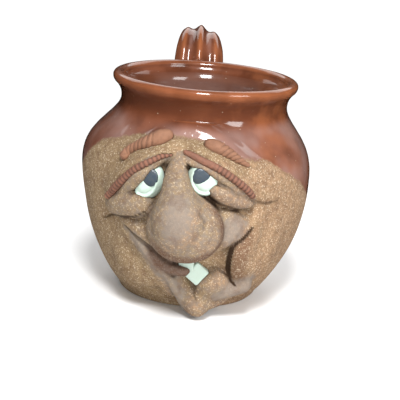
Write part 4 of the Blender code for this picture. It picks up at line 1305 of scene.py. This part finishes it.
class MUG_OT_lashes(Operator):
    """Lay the two flat lash strips with their comb marks"""

    bl_idname = "mug.lashes"
    bl_label = "Lash Strips"

    def execute(self, context):
        sizes, colours = context.scene.mug_sizes, context.scene.mug_colours
        red = plain_clay("dull_red_strip_clay", colours.red_clay, colours.red_shade,
                         (0.66, 0.88), 0.05, 0.6)

        def combed(smooth_until):
            def shape(far, ring, length):
                groove = math.cos(math.pi * far / sizes.comb_pitch) ** 4
                there = float(smoothstep(smooth_until - 0.1, smooth_until + 0.1, far / length))
                return 1.0 - 0.26 * groove * there * np.clip(np.sin(ring) + 0.6, 0, 1)
            return shape

        for side, stations, smooth_until in (("left", LEFT_LASH, -0.2),
                                             ("right", RIGHT_LASH, 0.40)):
            made = build_rope(side + "_combed_strip", stations, combed(smooth_until), 30)
            made["inlaid"] = True
            finish_piece(made, side + "_lash_strip", red)
        return {"FINISHED"}


class MUG_OT_stage(Operator):
    """Set up the pale floor, the soft lamps and the camera"""

    bl_idname = "mug.stage"
    bl_label = "Studio"

    def execute(self, context):
        scene, studio = context.scene, context.scene.mug_studio
        half = 4.0
        floor = mesh_object("floor", [(-half, -half, 0), (half, -half, 0), (half, half, 0),
                                      (-half, half, 0)], [(0, 1, 2, 3)])
        made, tree, shader = new_clay("pale_floor")
        tone = mix(tree, ramp(tree, cloudy(tree, millimetres(tree), 0.01), 0.3, 0.7, 0.0, 0.06),
                   tuple(studio.floor_colour), (0.8, 0.8, 0.8))
        set_inputs(tree, shader, Base_Color=tone, Roughness=0.9)
        floor.data.materials.append(made)
        floor.visible_glossy = False

        world = bpy.data.worlds.new("soft_room")
        world.use_nodes = True
        room = world.node_tree.nodes["Background"]
        room.inputs[0].default_value = (1.0, 1.0, 1.0, 1.0)
        room.inputs[1].default_value = studio.sky
        world.cycles_visibility.glossy = False
        scene.world = world
        soft_lamp("key_lamp", (0.0, -0.43, 0.61), (0, 0, 0.07), (0.16, 0.24),
                  studio.key_power)
        soft_lamp("side_lamp", (0.45, -0.45, 0.40), (0, 0, 0.05), (0.25, 0.25), 2.4)
        low = soft_lamp("low_lamp", (0.10, -0.80, 0.10), (0, 0, 0.04), (0.5, 0.25), 3.8)
        low.visible_glossy = False
        soft_lamp("floor_lamp", (0, 1.7, 1.2), (0, 1.7, 0), (2.8, 2.0), 33.0)
        build_camera()
        scene.view_settings.view_transform = "Standard"
        return {"FINISHED"}


class MUG_PT_panel(Panel):
    """The mug's settings and the steps that make it"""

    bl_label = "Ugly Mug"
    bl_idname = "MUG_PT_panel"
    bl_space_type = "VIEW_3D"
    bl_region_type = "UI"
    bl_category = "Ugly Mug"

    def draw(self, context):
        layout = self.layout
        for group in (context.scene.mug_sizes, context.scene.mug_colours,
                      context.scene.mug_studio):
            box = layout.box()
            for name in group.__annotations__:
                box.prop(group, name)
        for step in STEPS:
            layout.operator(step.bl_idname)


# The body comes last of the pieces, because the others press their seats into it
STEPS = (MUG_OT_eyes, MUG_OT_teeth, MUG_OT_eyebrows, MUG_OT_lashes, MUG_OT_body, MUG_OT_stage)
GROUPS = {"mug_sizes": MugSizes, "mug_colours": MugColours, "mug_studio": MugStudio}


def register():
    for made in (*GROUPS.values(), *STEPS, MUG_PT_panel):
        bpy.utils.register_class(made)
    for name, group in GROUPS.items():
        setattr(bpy.types.Scene, name, PointerProperty(type=group))


def unregister():
    for name in GROUPS:
        delattr(bpy.types.Scene, name)
    for made in (MUG_PT_panel, *reversed(STEPS), *GROUPS.values()):
        bpy.utils.unregister_class(made)


def main():
    register()
    for step in STEPS:
        group, name = step.bl_idname.split(".")
        getattr(getattr(bpy.ops, group), name)()


if __name__ == "__main__":
    main()
